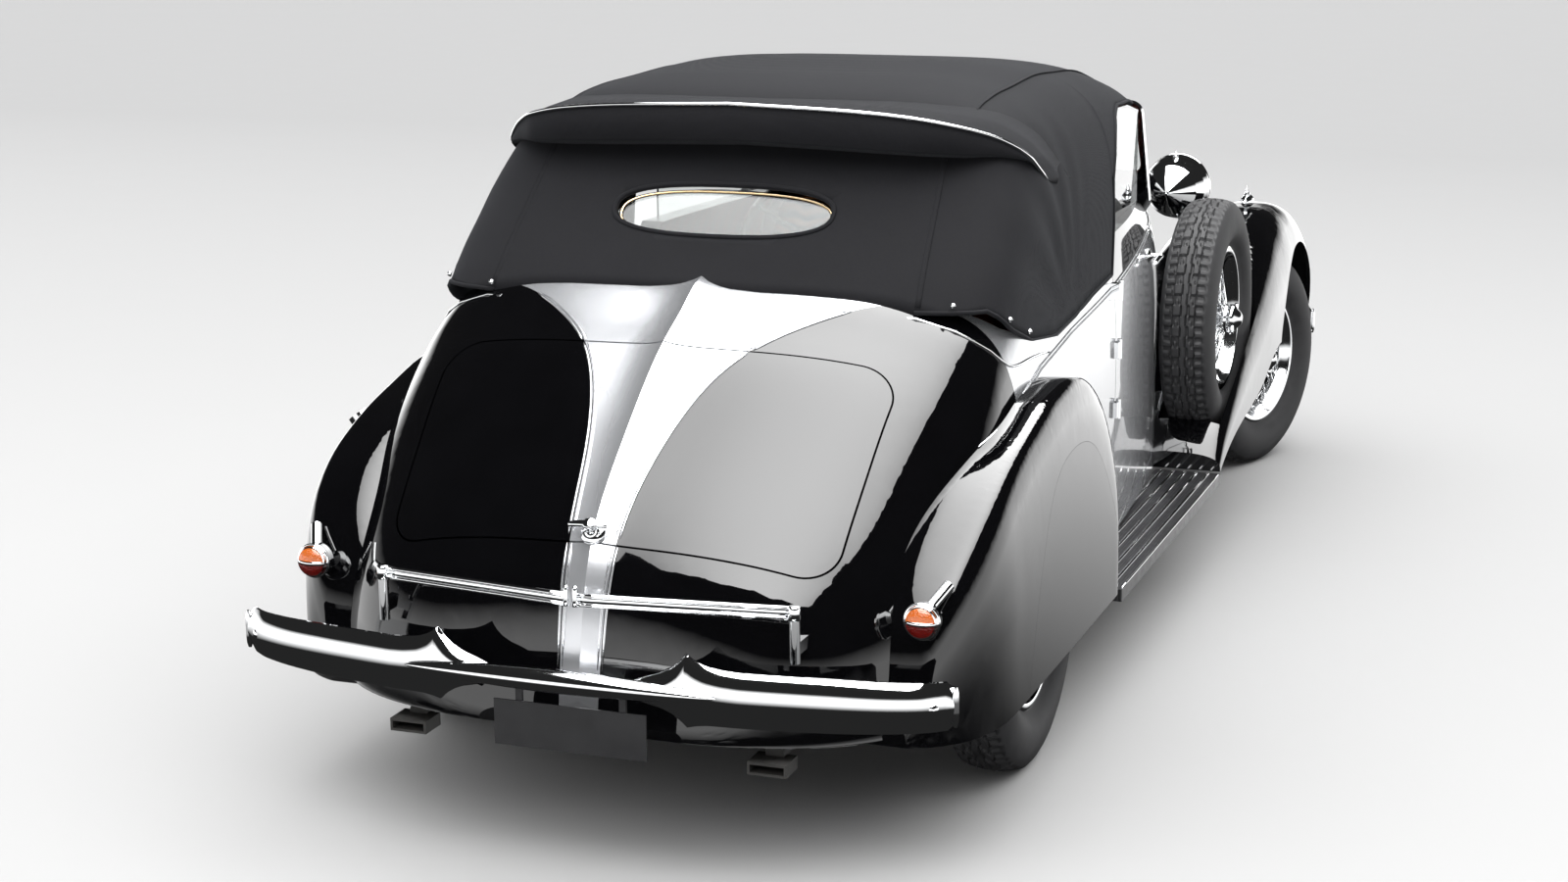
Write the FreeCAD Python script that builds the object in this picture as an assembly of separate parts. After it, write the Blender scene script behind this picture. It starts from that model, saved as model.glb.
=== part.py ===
"""Drophead touring car of the late 1930s: separate chassis, lofted coachwork, folding hood.

Millimetres.  The nose points along -Y, the tail along +Y, +Z is up, and the car's own right
side is -X.  The origin is on the ground, on the centre line, half way along the car.
"""
import FreeCAD, Part
import os
from math import asin, atan2, ceil, cos, degrees, exp, hypot, pi, radians, sin, tan

V = FreeCAD.Vector
os.makedirs("parts", exist_ok=True)

# ---------------------------------------------------------------- driving dimensions
wheelbase = 3320.0
rear_axle_y = 1437.0
front_axle_y = rear_axle_y - wheelbase
tyre_od = 760.0
tyre_width = 172.0
rear_half_track = 742.0
front_half_track = 708.0
hub_z = tyre_od / 2

rim_seat_r = 216.0          # where the tyre bead sits
rim_flange = 16.0
rim_half_width = 62.0
rim_wall = 5.0
hub_barrel_r = 38.0
axle_stub_r = 25.0
bearing_gap = 0.05
hub_inset = 16.0            # hub barrel starts this far inboard of the wheel centre
hub_outset = 75.0
knock_off_reach = 115.0
knock_off_r = 46.0
spokes_per_row = 12
spoke_r = 3.5

king_pin_x = 640.0
king_pin_r = 15.0
king_eye_r = 28.0
king_eye_half = 30.0
steering_arm = 150.0
parked_lock = -18.0         # the front wheels are left turned to the car's right

rail_in = 340.0
rail_out = 400.0
rail_depth = 105.0
spring_width = 50.0

body_base_z = 300.0
side_wall = 55.0            # whole thickness of a door or quarter panel
panel = 30.0                # pressed tail and cowl with its framing
panel_gap = 4.5
skirt_gap = 0.8
cowl_y = -760.0
door_front_y = -420.0
door_rear_y = 340.0
door_bottom_z = 341.0
sill_top_z = 1130.0         # top of the door, where the glass drops in
floor_z = 460.0
floor_wall = 18.0

ridge_height = 20.0
ridge_width = 38.0

wing_wall = 10.0
wing_x = 885.0              # outer face of wings and running boards
front_arch_r = 418.0
rear_well_r = 412.0
board_front_y = -472.0
board_rear_y = 845.7
board_top_z = 290.0
board_wall = 34.0

glass = 6.0
fabric_gap = 0.3

hood_wall = 24.0

bonnet_wall = 14.0
bonnet_front_y = -2120.0
bonnet_low_z = 560.0
hinge_rod_r = 5.0
radiator_depth = 95.0

bumper_mid_z = 441.0
blade_wall = 24.0



# ---------------------------------------------------------------- shape helpers
def box(x0, x1, y0, y1, z0, z1):
    low = V(min(x0, x1), min(y0, y1), min(z0, z1))
    return Part.makeBox(abs(x1 - x0), abs(y1 - y0), abs(z1 - z0), low)


def rod(start, end, radius):
    a, b = V(*start), V(*end)
    return Part.makeCylinder(radius, (b - a).Length, a, b - a)


def strides(points):
    """Share of the whole length reached at each point of a flat run."""
    reached = [0.0]
    for before, after in zip(points, points[1:]):
        reached.append(reached[-1] + hypot(after[0] - before[0], after[1] - before[1]))
    return [r / reached[-1] for r in reached]


def spline(points, pattern=None):
    """Smooth curve through points.  Lofted sections share a pattern, so that their knots agree."""
    curve = Part.BSplineCurve()
    places = [V(*p) for p in points]
    if pattern:
        curve.interpolate(Points=places, Parameters=strides(pattern))
    else:
        curve.interpolate(places)
    return curve.toShape()


def wire(points):
    return Part.makePolygon([V(*p) for p in points] + [V(*points[0])])


def prism(points, direction):
    """Flat outline of straight sides, pushed along a direction."""
    return Part.Face(wire(points)).extrude(V(*direction))


def side_prism(outline, x0, x1):
    """Outline of (y, z) points through the car from x0 to x1."""
    return prism([(x0, y, z) for y, z in outline], (x1 - x0, 0, 0))


def loft(wires):
    return Part.makeLoft(wires, True, False)


def mirror(shape):
    return shape.mirror(V(0, 0, 0), V(1, 0, 0))


def fuse(*shapes):
    return shapes[0].fuse(list(shapes[1:])).removeSplitter()


def turned(shape, centre, axis, angle):
    copy = shape.copy()
    copy.rotate(V(*centre), V(*axis), angle)
    return copy


def moved(shape, x, y, z):
    copy = shape.copy()
    copy.translate(V(x, y, z))
    return copy


def largest(shape, count=1):
    solids = sorted(shape.Solids, key=lambda s: -s.Volume)
    return solids[:count]


def revolved(outline, centre, axis, angle=360):
    """Outline of (along, radius) points spun about an axis through a centre."""
    along = V(*axis)
    across = V(0, 0, 1) if abs(along.z) < 0.5 else V(1, 0, 0)
    points = [V(*centre) + along * a + across * r for a, r in outline]
    face = Part.Face(Part.makePolygon(points + [points[0]]))
    return face.revolve(V(*centre), along, angle)


def export(name, *shapes):
    solids = [solid for shape in shapes for solid in shape.Solids]
    whole = solids[0] if len(solids) == 1 else Part.makeCompound(solids)
    whole.exportStep("parts/" + name + ".step")


def both(name, shape):
    """A node for each side, from the right-hand one."""
    export(name + "_right", shape)
    export(name + "_left", mirror(shape))


def table(rows, y):
    """Smooth value of a table of (y, value) pairs."""
    knots = [r[0] for r in rows]
    values = [r[1] for r in rows]
    if y <= knots[0]:
        return values[0]
    if y >= knots[-1]:
        return values[-1]
    i = max(k for k in range(len(knots)) if knots[k] <= y)

    def slope(k):
        if k == 0 or k == len(knots) - 1:
            k0, k1 = (0, 1) if k == 0 else (k - 1, k)
            return (values[k1] - values[k0]) / (knots[k1] - knots[k0])
        left = (values[k] - values[k - 1]) / (knots[k] - knots[k - 1])
        right = (values[k + 1] - values[k]) / (knots[k + 1] - knots[k])
        return 0 if left * right <= 0 else 2 * left * right / (left + right)

    h = knots[i + 1] - knots[i]
    t = (y - knots[i]) / h
    a, b = values[i], values[i + 1]
    m, n = slope(i) * h, slope(i + 1) * h
    return (a * (2 * t**3 - 3 * t**2 + 1) + m * (t**3 - 2 * t**2 + t)
            + b * (3 * t**2 - 2 * t**3) + n * (t**3 - t**2))


def even(rows, pitch):
    """The same shape at stations evenly spaced along its crown line, so that the skin is fair."""
    length = [0.0]
    for before, after in zip(rows, rows[1:]):
        length.append(length[-1] + hypot(after[0] - before[0], after[2] - before[2]))
    count = ceil(length[-1] / pitch)
    columns = [[(at, row[k]) for at, row in zip(length, rows)] for k in range(len(rows[0]))]
    return [tuple(table(column, length[-1] * i / count) for column in columns) for i in range(count + 1)]


# ---------------------------------------------------------------- coachwork sections
def half_arch(width, height, power, crease=0.0):
    """(x, z) points of a quarter superellipse, from the crown to the foot."""
    points = []
    for share in (0, 0.02, 0.05, 0.09, 0.16, 0.28, 0.42):
        z = height * (1 - share**power)**(1 / power)
        points.append((share * width, z + crease * exp(-share * width / ridge_width)))
    start = asin(0.56**(power / 2))
    steps = 9
    for k in range(steps + 1):
        angle = start + (pi / 2 - start) * k / steps
        x = width * sin(angle)**(2 / power)
        z = height * max(cos(angle), 0)**(2 / power)
        points.append((x, z + crease * exp(-x / ridge_width)))
    points[-1] = (width, 0)
    return points


ARCH_PATTERN = half_arch(700, 800, 4.5)


def arch_wire(y, width, base, top, power, crease=0.0, skirt=0.0):
    """Closed section across the car, with straight sides below its base by the skirt."""
    half = half_arch(width, top - base, power, crease)
    right = spline([(-x, y, base + z) for x, z in half], ARCH_PATTERN)
    left = spline([(x, y, base + z) for x, z in half], ARCH_PATTERN)
    feet = [V(-width, y, base), V(width, y, base)]
    if skirt:
        low = [V(-width, y, base - skirt), V(width, y, base - skirt)]
        ends = [Part.makeLine(feet[0], low[0]), Part.makeLine(low[0], low[1]), Part.makeLine(low[1], feet[1])]
    else:
        ends = [Part.makeLine(feet[0], feet[1])]
    return Part.Wire([right] + ends + [left])


# station y, half width, crown height, squareness of the section
BODY = [(-760, 608, 1178, 6.4), (-560, 658, 1196, 7.0), (-330, 690, 1222, 7.0), (-60, 716, 1244, 7.0),
        (240, 736, 1256, 7.0), (560, 750, 1260, 7.0), (880, 760, 1258, 7.0), (1180, 774, 1246, 6.4),
        (1400, 785, 1226, 5.8),
        (1530, 791, 1200, 5.2), (1620, 796, 1170, 4.8), (1705, 798, 1124, 4.3), (1809, 797, 1072, 3.7),
        (1947, 780, 981, 3.1), (2035, 757, 907, 2.8), (2122, 716, 835, 2.65), (2196, 650, 762, 2.55),
        (2236, 600, 711, 2.5), (2267, 546, 645, 2.5), (2298, 472, 563, 2.5), (2323, 372, 440, 2.5),
        (2338, 250, 350, 2.5)]
BODY = even(BODY, 120)
RIDGE_START = 1500.0


def body_crease(y):
    return ridge_height if y > RIDGE_START else 0.0


def body_solid(inset):
    """Whole coachwork envelope; with an inset it is the hollow inside."""
    wires = []
    for i, (y, width, top, power) in enumerate(BODY):
        wall = side_wall if y < 1300 else panel + (side_wall - panel) * max(0, (1530 - y) / 230)
        if inset:
            before, after = BODY[max(i - 1, 0)], BODY[min(i + 1, len(BODY) - 1)]
            slope = atan2(before[2] - after[2], after[0] - before[0])
            shift_y = -panel * sin(slope) if y > RIDGE_START else 0
            shift_z = -panel * cos(slope)
            if i == 0:
                shift_y = -1
            wires.append(arch_wire(y + shift_y, width - wall, body_base_z, top + shift_z, power,
                                   body_crease(y), skirt=25))
        else:
            wires.append(arch_wire(y, width, body_base_z, top, power, body_crease(y)))
    return loft(wires)


body_outer = body_solid(False)
body_inner = body_solid(True)
shell = body_outer.cut(body_inner)

# the waist rail: the line that the hood and the doors finish against
WAIST = [(door_rear_y + panel_gap, 1044), (590, 1033), (815, 1010), (1040, 1001), (1260, 1030),
         (1440, 1092), (1530, 1150), (1546, 1450)]
cockpit = side_prism([(-538, 1450), (-538, sill_top_z), (door_rear_y + panel_gap, sill_top_z)] + WAIST,
                     -900, 900)
shell = shell.cut(cockpit)

rear_well = rod((-1000, rear_axle_y, hub_z), (-630, rear_axle_y, hub_z), rear_well_r)
shell = shell.cut(rear_well).cut(mirror(rear_well))

door_opening = box(-1000, 1000, door_front_y, door_rear_y + panel_gap, door_bottom_z, 1500)
door_block = box(-1000, -300, door_front_y + panel_gap, door_rear_y, door_bottom_z + panel_gap, 1500)
cowl_block = box(-1000, 1000, cowl_y - 10, door_front_y, 0, 1500)

door = largest(shell.common(door_block))[0]
cowl_shell = shell.common(cowl_block)
tail_shell = shell.cut(cowl_block).cut(door_opening)


# ---------------------------------------------------------------- boot lid
LID_SLOPE = atan2(1072 - 711, 2236 - 1809)
lid_along = V(0, cos(LID_SLOPE), -sin(LID_SLOPE))
lid_normal = V(0, sin(LID_SLOPE), cos(LID_SLOPE))
lid_top = V(0, 1812, 1084)
lid_length = 566.0
lid_half_top = 575.0
lid_half_bottom = 546.0
lid_corner = 88.0


def rounded(corners, radius):
    """Closed wire through flat corners, each turned by an arc."""
    edges = []
    n = len(corners)
    ins, outs = [], []
    for k in range(n):
        before, here, after = corners[k - 1], corners[k], corners[(k + 1) % n]
        to_before = (before - here).normalize()
        to_after = (after - here).normalize()
        half = to_before.getAngle(to_after) / 2
        cut = radius / tan(half)
        bisector = (to_before + to_after).normalize()
        middle = here + bisector * (radius / sin(half) - radius)
        ins.append(here + to_before * cut)
        outs.append(here + to_after * cut)
        edges.append(Part.Arc(ins[-1], middle, outs[-1]).toShape())
    result = []
    for k in range(n):
        result.append(edges[k])
        result.append(Part.makeLine(outs[k], ins[(k + 1) % n]))
    return Part.Wire(result)


def lid_prism(grow):
    base = lid_top - lid_normal * 220
    top_half = lid_half_top + grow
    bottom_half = lid_half_bottom + grow
    corners = [base + V(-top_half, 0, 0) - lid_along * grow, base + V(top_half, 0, 0) - lid_along * grow,
               base + V(bottom_half, 0, 0) + lid_along * (lid_length + grow),
               base + V(-bottom_half, 0, 0) + lid_along * (lid_length + grow)]
    outline = rounded(corners, lid_corner + grow)
    return Part.Face(outline).extrude(lid_normal * 330)


boot_lid = largest(tail_shell.common(lid_prism(0)))[0]
lid_zone = tail_shell.common(lid_prism(panel_gap))
tail_shell = largest(tail_shell.cut(lid_prism(panel_gap)))[0]

# the latch plate behind the lower edge, which the shut lid rests on
lid_foot = lid_top + lid_along * lid_length
latch = box(-45, 45, lid_foot.y - 60, lid_foot.y + 30, lid_foot.z - 75, lid_foot.z + 10).common(body_outer)
rest_gap = lid_normal * fabric_gap
latch = latch.cut(lid_zone).cut(moved(lid_zone, 0, -rest_gap.y, -rest_gap.z))
tail_shell = fuse(tail_shell, *largest(latch))
tail_shell = largest(tail_shell)[0]

lid_hinge = lid_top + lid_normal * 24 - lid_along * 3

# ---------------------------------------------------------------- rear wings and skirts
# station y, outer face, crown height, crown position across the car
REAR_WING = [(846, 868, 455, 800), (870, 880, 600, 802), (905, 885, 710, 806), (960, 885, 806, 808),
             (1050, 885, 884, 810), (1170, 885, 930, 812), (1300, 885, 945, 812), (1450, 885, 936, 810),
             (1600, 885, 905, 804), (1745, 885, 868, 796), (1900, 884, 806, 786), (1990, 874, 750, 776),
             (2060, 852, 684, 762), (2110, 822, 606, 745), (2148, 784, 510, 726), (2172, 744, 400, 706),
             (2182, 716, 330, 690)]
REAR_WING = even(REAR_WING, 75)


def wing_arch(crown, outer, crown_x, inner, low, outer_power, inner_power):
    """(x, z) points of a right-hand wing: inner foot, over the crown, down to the outer foot."""
    height = crown - low
    points = []
    steps = 8
    for k in range(steps + 1):
        angle = pi / 2 * (1 - k / steps)
        x = (crown_x - inner) * sin(angle)**(2 / inner_power)
        points.append((-(crown_x - x), low + height * max(cos(angle), 0)**(2 / inner_power)))
    points[0] = (-inner, low)
    for k in range(1, steps + 1):
        angle = pi / 2 * k / steps
        x = (outer - crown_x) * sin(angle)**(2 / outer_power)
        points.append((-(crown_x + x), low + height * max(cos(angle), 0)**(2 / outer_power)))
    points[-1] = (-outer, low)
    return points


WING_PATTERN = wing_arch(900, 885, 790, 500, 300, 3.5, 2.6)


def wing_wire(y, crown, outer, crown_x, inner, low, outer_power, inner_power, skirt=0.0):
    """Closed section of a wing, with straight sides below its feet by the skirt."""
    arch = wing_arch(crown, outer, crown_x, inner, low, outer_power, inner_power)
    top = spline([(x, y, z) for x, z in arch], WING_PATTERN)
    feet = [V(-outer, y, low), V(-outer, y, low - skirt), V(-inner, y, low - skirt), V(-inner, y, low)]
    if not skirt:
        return Part.Wire([top, Part.makeLine(feet[0], feet[3])])
    ends = [Part.makeLine(feet[k], feet[k + 1]) for k in range(3)]
    return Part.Wire([top] + ends)


def wing_solid(rows, low, inner, wall, outer_power, inner_power):
    """Envelope of a wing, or its hollow inside when a wall is given."""
    wires = []
    for i, (y, outer, crown, crown_x) in enumerate(rows):
        foot = low(y)
        if wall:
            before, after = rows[max(i - 1, 0)], rows[min(i + 1, len(rows) - 1)]
            slope = atan2(after[2] - before[2], after[0] - before[0])
            y += wall * sin(slope)
            crown -= wall * cos(slope)
            outer -= wall
            wires.append(wing_wire(y, crown, outer, crown_x, inner(rows[i][0]) + wall, foot, outer_power,
                                   inner_power, skirt=30))
        else:
            wires.append(wing_wire(y, crown, outer, crown_x, inner(y), foot, outer_power, inner_power))
    return loft(wires)


rear_low_z = 290.0


def rear_low(y):
    return rear_low_z


def rear_inner(y):
    return 560.0


rear_wing_outer = wing_solid(REAR_WING, rear_low, rear_inner, 0, 4.0, 3.0)
rear_wing_inner = wing_solid(REAR_WING, rear_low, rear_inner, wing_wall, 4.0, 3.0)
rear_wing = rear_wing_outer.cut(rear_wing_inner)
rear_wing = rear_wing.cut(body_outer)

SKIRT = [(872, 410), (905, 480), (999, 615), (1080, 700), (1160, 755), (1260, 785), (1380, 788),
         (1490, 762), (1570, 705), (1640, 606), (1712, 455), (1764, 310)]


def skirt_prism(grow):
    low = rear_low_z - 60
    centre_y, centre_z = 1320, rear_low_z
    outline = []
    for y, z in SKIRT:
        away = hypot(y - centre_y, z - centre_z)
        outline.append((y + (y - centre_y) / away * grow, z + (z - centre_z) / away * grow))
    top = spline([(-1000, y, z) for y, z in outline])
    first, last = outline[0], outline[-1]
    feet = [(first[0] - 8, low), (last[0] + 2, low)]
    face = Part.Face(Part.Wire([
        Part.makeLine(V(-1000, feet[0][0], feet[0][1]), V(-1000, *first)), top,
        Part.makeLine(V(-1000, *last), V(-1000, feet[1][0], feet[1][1])),
        Part.makeLine(V(-1000, feet[1][0], feet[1][1]), V(-1000, feet[0][0], feet[0][1]))]))
    return face.extrude(V(145, 0, 0))


wing_side = rear_wing.common(skirt_prism(0))
skirt = largest(wing_side)[0]
rear_wing = largest(rear_wing.cut(skirt_prism(skirt_gap)))[0]

# ---------------------------------------------------------------- front wings and running boards
FRONT_WING = [(-2292, 842, 500, 690), (-2282, 856, 590, 692), (-2256, 868, 676, 694), (-2206, 880, 766, 696),
              (-2130, 886, 846, 698), (-2020, 890, 908, 700), (-1880, 892, 938, 700), (-1720, 892, 940, 700),
              (-1540, 890, 908, 702), (-1360, 888, 838, 705), (-1180, 886, 742, 708), (-1000, 885, 642, 712),
              (-820, 885, 550, 716), (-640, 885, 462, 720), (-540, 885, 408, 722), (-474, 885, 350, 724)]
FRONT_WING = even(FRONT_WING, 75)


def front_low(y):
    return table([(-2292, 440), (-2200, 450), (-1900, 480), (-1480, 515), (-1113, 417), (-730, 369),
                  (-560, 330), (-474, 296)], y)


def front_inner(y):
    return table([(-2292, 560), (-2200, 470), (-2100, 400), (-1900, 350), (-1500, 372), (-1100, 480),
                  (-800, 570), (-474, 620)], y)


front_wing_outer = wing_solid(FRONT_WING, front_low, front_inner, 0, 3.0, 2.2)
front_wing_inner = wing_solid(FRONT_WING, front_low, front_inner, wing_wall, 3.0, 2.2)
front_wing = front_wing_outer.cut(front_wing_inner)
front_arch = rod((-1000, front_axle_y, hub_z), (-430, front_axle_y, hub_z), front_arch_r)
front_wing = front_wing.cut(front_arch).cut(body_outer)

# ---------------------------------------------------------------- spare wheels in the wings
spare_x = 757.0
spare_y = -838.0
spare_z = 712.0
spare_well_gap = 0.5
spare_well = rod((-spare_x + tyre_width / 2 + 12, spare_y, spare_z),
                 (-spare_x - tyre_width / 2 - 12, spare_y, spare_z), tyre_od / 2 + spare_well_gap)
spare_pan = rod((-spare_x + tyre_width / 2 + 18, spare_y, spare_z),
                (-spare_x - tyre_width / 2 - 18, spare_y, spare_z), tyre_od / 2 + spare_well_gap + 6)
pan = spare_pan.cut(spare_well).common(front_wing_inner)
front_wing = front_wing.cut(spare_well)
front_wing = fuse(front_wing, pan)
front_wing = largest(front_wing)[0]


# ---------------------------------------------------------------- wheels and tyres
def wheel_profile_tyre():
    r_out = tyre_od / 2
    half = tyre_width / 2
    points = [(-rim_half_width + rim_wall, rim_seat_r), (-rim_half_width + 2, rim_seat_r + rim_flange),
              (-half + 6, rim_seat_r + 46), (-half, rim_seat_r + 82), (-half + 9, r_out - 34),
              (-half + 28, r_out - 8), (-28, r_out), (28, r_out), (half - 28, r_out - 8),
              (half - 9, r_out - 34), (half, rim_seat_r + 82), (half - 6, rim_seat_r + 46),
              (rim_half_width - 2, rim_seat_r + rim_flange), (rim_half_width - rim_wall, rim_seat_r)]
    return points


def tyre_at(x, y, z):
    return revolved(wheel_profile_tyre(), (x, y, z), (1, 0, 0))


def wheel_at(x, y, z, side, bored):
    """Wire wheel; side is +1 when its outer face looks along +X."""
    out = side
    flange = [(-rim_half_width, rim_seat_r - rim_wall), (-rim_half_width, rim_seat_r + rim_flange),
              (-rim_half_width + 2, rim_seat_r + rim_flange), (-rim_half_width + rim_wall, rim_seat_r),
              (rim_half_width - rim_wall, rim_seat_r), (rim_half_width - 2, rim_seat_r + rim_flange),
              (rim_half_width, rim_seat_r + rim_flange), (rim_half_width, rim_seat_r - rim_wall),
              (rim_half_width - 20, rim_seat_r - rim_wall), (30, rim_seat_r - 24), (-30, rim_seat_r - 24),
              (-rim_half_width + 20, rim_seat_r - rim_wall)]
    rim = revolved(flange, (x, y, z), (1, 0, 0))
    rim = rim.cut(revolved([(-rim_half_width - 1, 0), (-rim_half_width - 1, rim_seat_r - rim_wall - 24),
                            (rim_half_width + 1, rim_seat_r - rim_wall - 24), (rim_half_width + 1, 0)],
                           (x, y, z), (1, 0, 0)))
    hub = [(-hub_inset, 0), (-hub_inset, hub_barrel_r + 14), (-hub_inset + 8, hub_barrel_r + 14),
           (-hub_inset + 14, hub_barrel_r), (hub_outset - 22, hub_barrel_r - 4),
           (hub_outset - 16, hub_barrel_r + 8),
           (hub_outset - 8, hub_barrel_r + 8), (hub_outset - 4, knock_off_r), (hub_outset + 14, knock_off_r),
           (hub_outset + 24, knock_off_r - 12), (knock_off_reach - 6, 22), (knock_off_reach, 12),
           (knock_off_reach, 0)]
    barrel = revolved([(out * a, r) for a, r in hub], (x, y, z), (1, 0, 0))
    pieces = [barrel]
    for row, (hub_at, hub_r, rim_at, twist) in enumerate((
            (-hub_inset + 4, hub_barrel_r + 8, -16, 12), (hub_outset - 12, hub_barrel_r + 4, 14, -12))):
        for k in range(spokes_per_row):
            angle = 2 * pi * (k + 0.5 * row) / spokes_per_row
            far = angle + radians(twist if k % 2 else -twist)
            start = (x + out * hub_at, y + hub_r * cos(angle), z + hub_r * sin(angle))
            reach = rim_seat_r - 14
            end = (x + out * rim_at, y + reach * cos(far), z + reach * sin(far))
            pieces.append(rod(start, end, spoke_r))
    wheel = rim.fuse(pieces)
    if bored:
        bore = rod((x - out * (hub_inset + 1), y, z), (x + out * (hub_outset - 20), y, z),
                   axle_stub_r + bearing_gap)
        wheel = wheel.cut(bore)
    return wheel


def parked(shape, side):
    """Front wheel parts as they stand parked, turned about their king pin."""
    return turned(shape, (side * king_pin_x, front_axle_y, 0), (0, 0, 1), parked_lock)


wheel_master = wheel_at(0, 0, 0, -1, True)
spare_master = wheel_at(0, 0, 0, -1, False)
tyre_master = tyre_at(0, 0, 0)

rear_right = (-rear_half_track, rear_axle_y, hub_z)
for kind, master in (("wheel", wheel_master), ("tyre", tyre_master)):
    placed = moved(master, *rear_right)
    export(kind + "_rear_right", placed)
    export(kind + "_rear_left", mirror(placed))

front_right = (-front_half_track, front_axle_y, hub_z)
front_wheel = moved(wheel_master, *front_right)
front_tyre = moved(tyre_master, *front_right)
export("wheel_front_right", parked(front_wheel, -1))
export("tyre_front_right", parked(front_tyre, -1))
export("wheel_front_left", parked(mirror(front_wheel), 1))
export("tyre_front_left", parked(mirror(front_tyre), 1))

spare_place = (-spare_x, spare_y, spare_z)
spare_wheel = moved(spare_master, *spare_place)
spare_tyre = moved(tyre_master, *spare_place)
export("spare_wheels", spare_wheel, mirror(spare_wheel))
export("spare_tyres", spare_tyre, mirror(spare_tyre))

# ---------------------------------------------------------------- axles, knuckles, track rod
stub_end = hub_outset - 22


def knuckle_right():
    x, y = -king_pin_x, front_axle_y
    top, low = hub_z + king_eye_half + 0.3, hub_z - king_eye_half - 0.3
    upper = rod((x, y, top), (x, y, top + 22), king_eye_r)
    lower = rod((x, y, low - 22), (x, y, low), king_eye_r)
    pin = rod((x, y, low - 1), (x, y, top + 1), king_pin_r)
    web = box(x - king_eye_r - 6, x - king_eye_r - 20, y - 30, y + 30, low - 22, top + 22)
    arms = [box(x, x - king_eye_r - 8, y - 26, y + 26, top, top + 22),
            box(x, x - king_eye_r - 8, y - 26, y + 26, low - 22, low)]
    stub_x = -front_half_track - stub_end
    stub = rod((x - king_eye_r - 8, y, hub_z), (stub_x, y, hub_z), axle_stub_r)
    steer = box(x - 14, x + 14, y, y + steering_arm + 16, low - 22, low - 6)
    eye = rod((x, y + steering_arm, low - 22), (x, y + steering_arm, low - 6), 20)
    ball = rod((x, y + steering_arm, low - 54), (x, y + steering_arm, low - 20), 8)
    return fuse(upper, lower, pin, web, *arms, stub, steer, eye, ball)


knuckle = knuckle_right()
export("knuckle_right", parked(knuckle, -1))
export("knuckle_left", parked(mirror(knuckle), 1))

rod_z = hub_z - king_eye_half - 0.3 - 38
rod_shift_x = -steering_arm * sin(radians(parked_lock))
rod_y = front_axle_y + steering_arm * cos(radians(parked_lock))


def track_rod():
    left, right = king_pin_x + rod_shift_x, -king_pin_x + rod_shift_x
    ends = [rod((x, rod_y, rod_z - 11), (x, rod_y, rod_z + 11), 17) for x in (left, right)]
    bar = rod((left, rod_y, rod_z), (right, rod_y, rod_z), 10)
    whole = fuse(ends[0], ends[1], bar)
    for x, gap in ((left, 0.1), (right, 2.0)):
        whole = whole.cut(rod((x, rod_y, rod_z - 20), (x, rod_y, rod_z + 20), 8 + gap))
    return whole


export("track_rod", track_rod())


def front_axle():
    x = king_pin_x
    beam_z = hub_z - 70
    outline = [(-x, hub_z - 24), (-x, hub_z + 24), (-x + 55, hub_z + 24), (-x + 115, hub_z - 8),
               (-430, beam_z + 34), (430, beam_z + 34), (x - 115, hub_z - 8), (x - 55, hub_z + 24),
               (x, hub_z + 24), (x, hub_z - 24), (x - 55, hub_z - 24), (x - 115, hub_z - 62),
               (430, beam_z - 24), (-430, beam_z - 24), (-x + 115, hub_z - 62), (-x + 55, hub_z - 24)]
    beam = prism([(px, front_axle_y - 22, pz) for px, pz in outline], (0, 44, 0))
    pieces = [beam]
    for side in (-1, 1):
        pieces.append(rod((side * x, front_axle_y, hub_z - king_eye_half),
                          (side * x, front_axle_y, hub_z + king_eye_half), king_eye_r))
        middle = (rail_in + rail_out) / 2 * side
        pieces.append(box(middle - spring_width / 2, middle + spring_width / 2, front_axle_y - 50,
                          front_axle_y + 50, beam_z + 20, beam_z + 40))
    axle = fuse(*pieces)
    for side in (-1, 1):
        axle = axle.cut(rod((side * x, front_axle_y, hub_z - 60), (side * x, front_axle_y, hub_z + 60),
                            king_pin_r + bearing_gap))
        web = box(side * (x + king_eye_r), side * (x + 60), front_axle_y - 40, front_axle_y + 40, 200, 500)
        axle = axle.cut(web)
    return axle


front_beam_top = hub_z - 70 + 40
export("front_axle", front_axle())


def rear_axle():
    inner = rear_half_track - hub_inset - 4
    tube = rod((-inner, rear_axle_y, hub_z), (inner, rear_axle_y, hub_z), 38)
    stub_reach = rear_half_track + stub_end
    stub = rod((-stub_reach, rear_axle_y, hub_z), (stub_reach, rear_axle_y, hub_z), axle_stub_r)
    case = revolved([(-150, 0), (-150, 60), (-70, 128), (70, 128), (150, 60), (150, 0)],
                    (0, rear_axle_y, hub_z), (1, 0, 0))
    nose = Part.makeCone(95, 45, 260, V(0, rear_axle_y - 60, hub_z), V(0, -1, 0))
    drums = [rod((side * (inner - 40), rear_axle_y, hub_z), (side * inner, rear_axle_y, hub_z), 160)
             for side in (-1, 1)]
    pads = []
    for side in (-1, 1):
        middle = (rail_in + rail_out) / 2 * side
        pads.append(box(middle - spring_width / 2, middle + spring_width / 2, rear_axle_y - 50,
                        rear_axle_y + 50, hub_z - 10, hub_z + 44))
    return fuse(tube, stub, case, nose, *drums, *pads)


rear_pad_top = hub_z + 44
export("rear_axle", rear_axle())

# ---------------------------------------------------------------- chassis frame and springs
RAIL = [(-2330, 452), (-2230, 500), (-2040, 545), (-1860, 560), (-1640, 540), (-1400, 470), (-1180, 440),
        (900, 440), (1080, 478), (1260, 590), (1437, 630), (1620, 600), (1800, 540), (2040, 500), (2260, 480)]


def rail_top(y):
    return table(RAIL, y)


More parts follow.
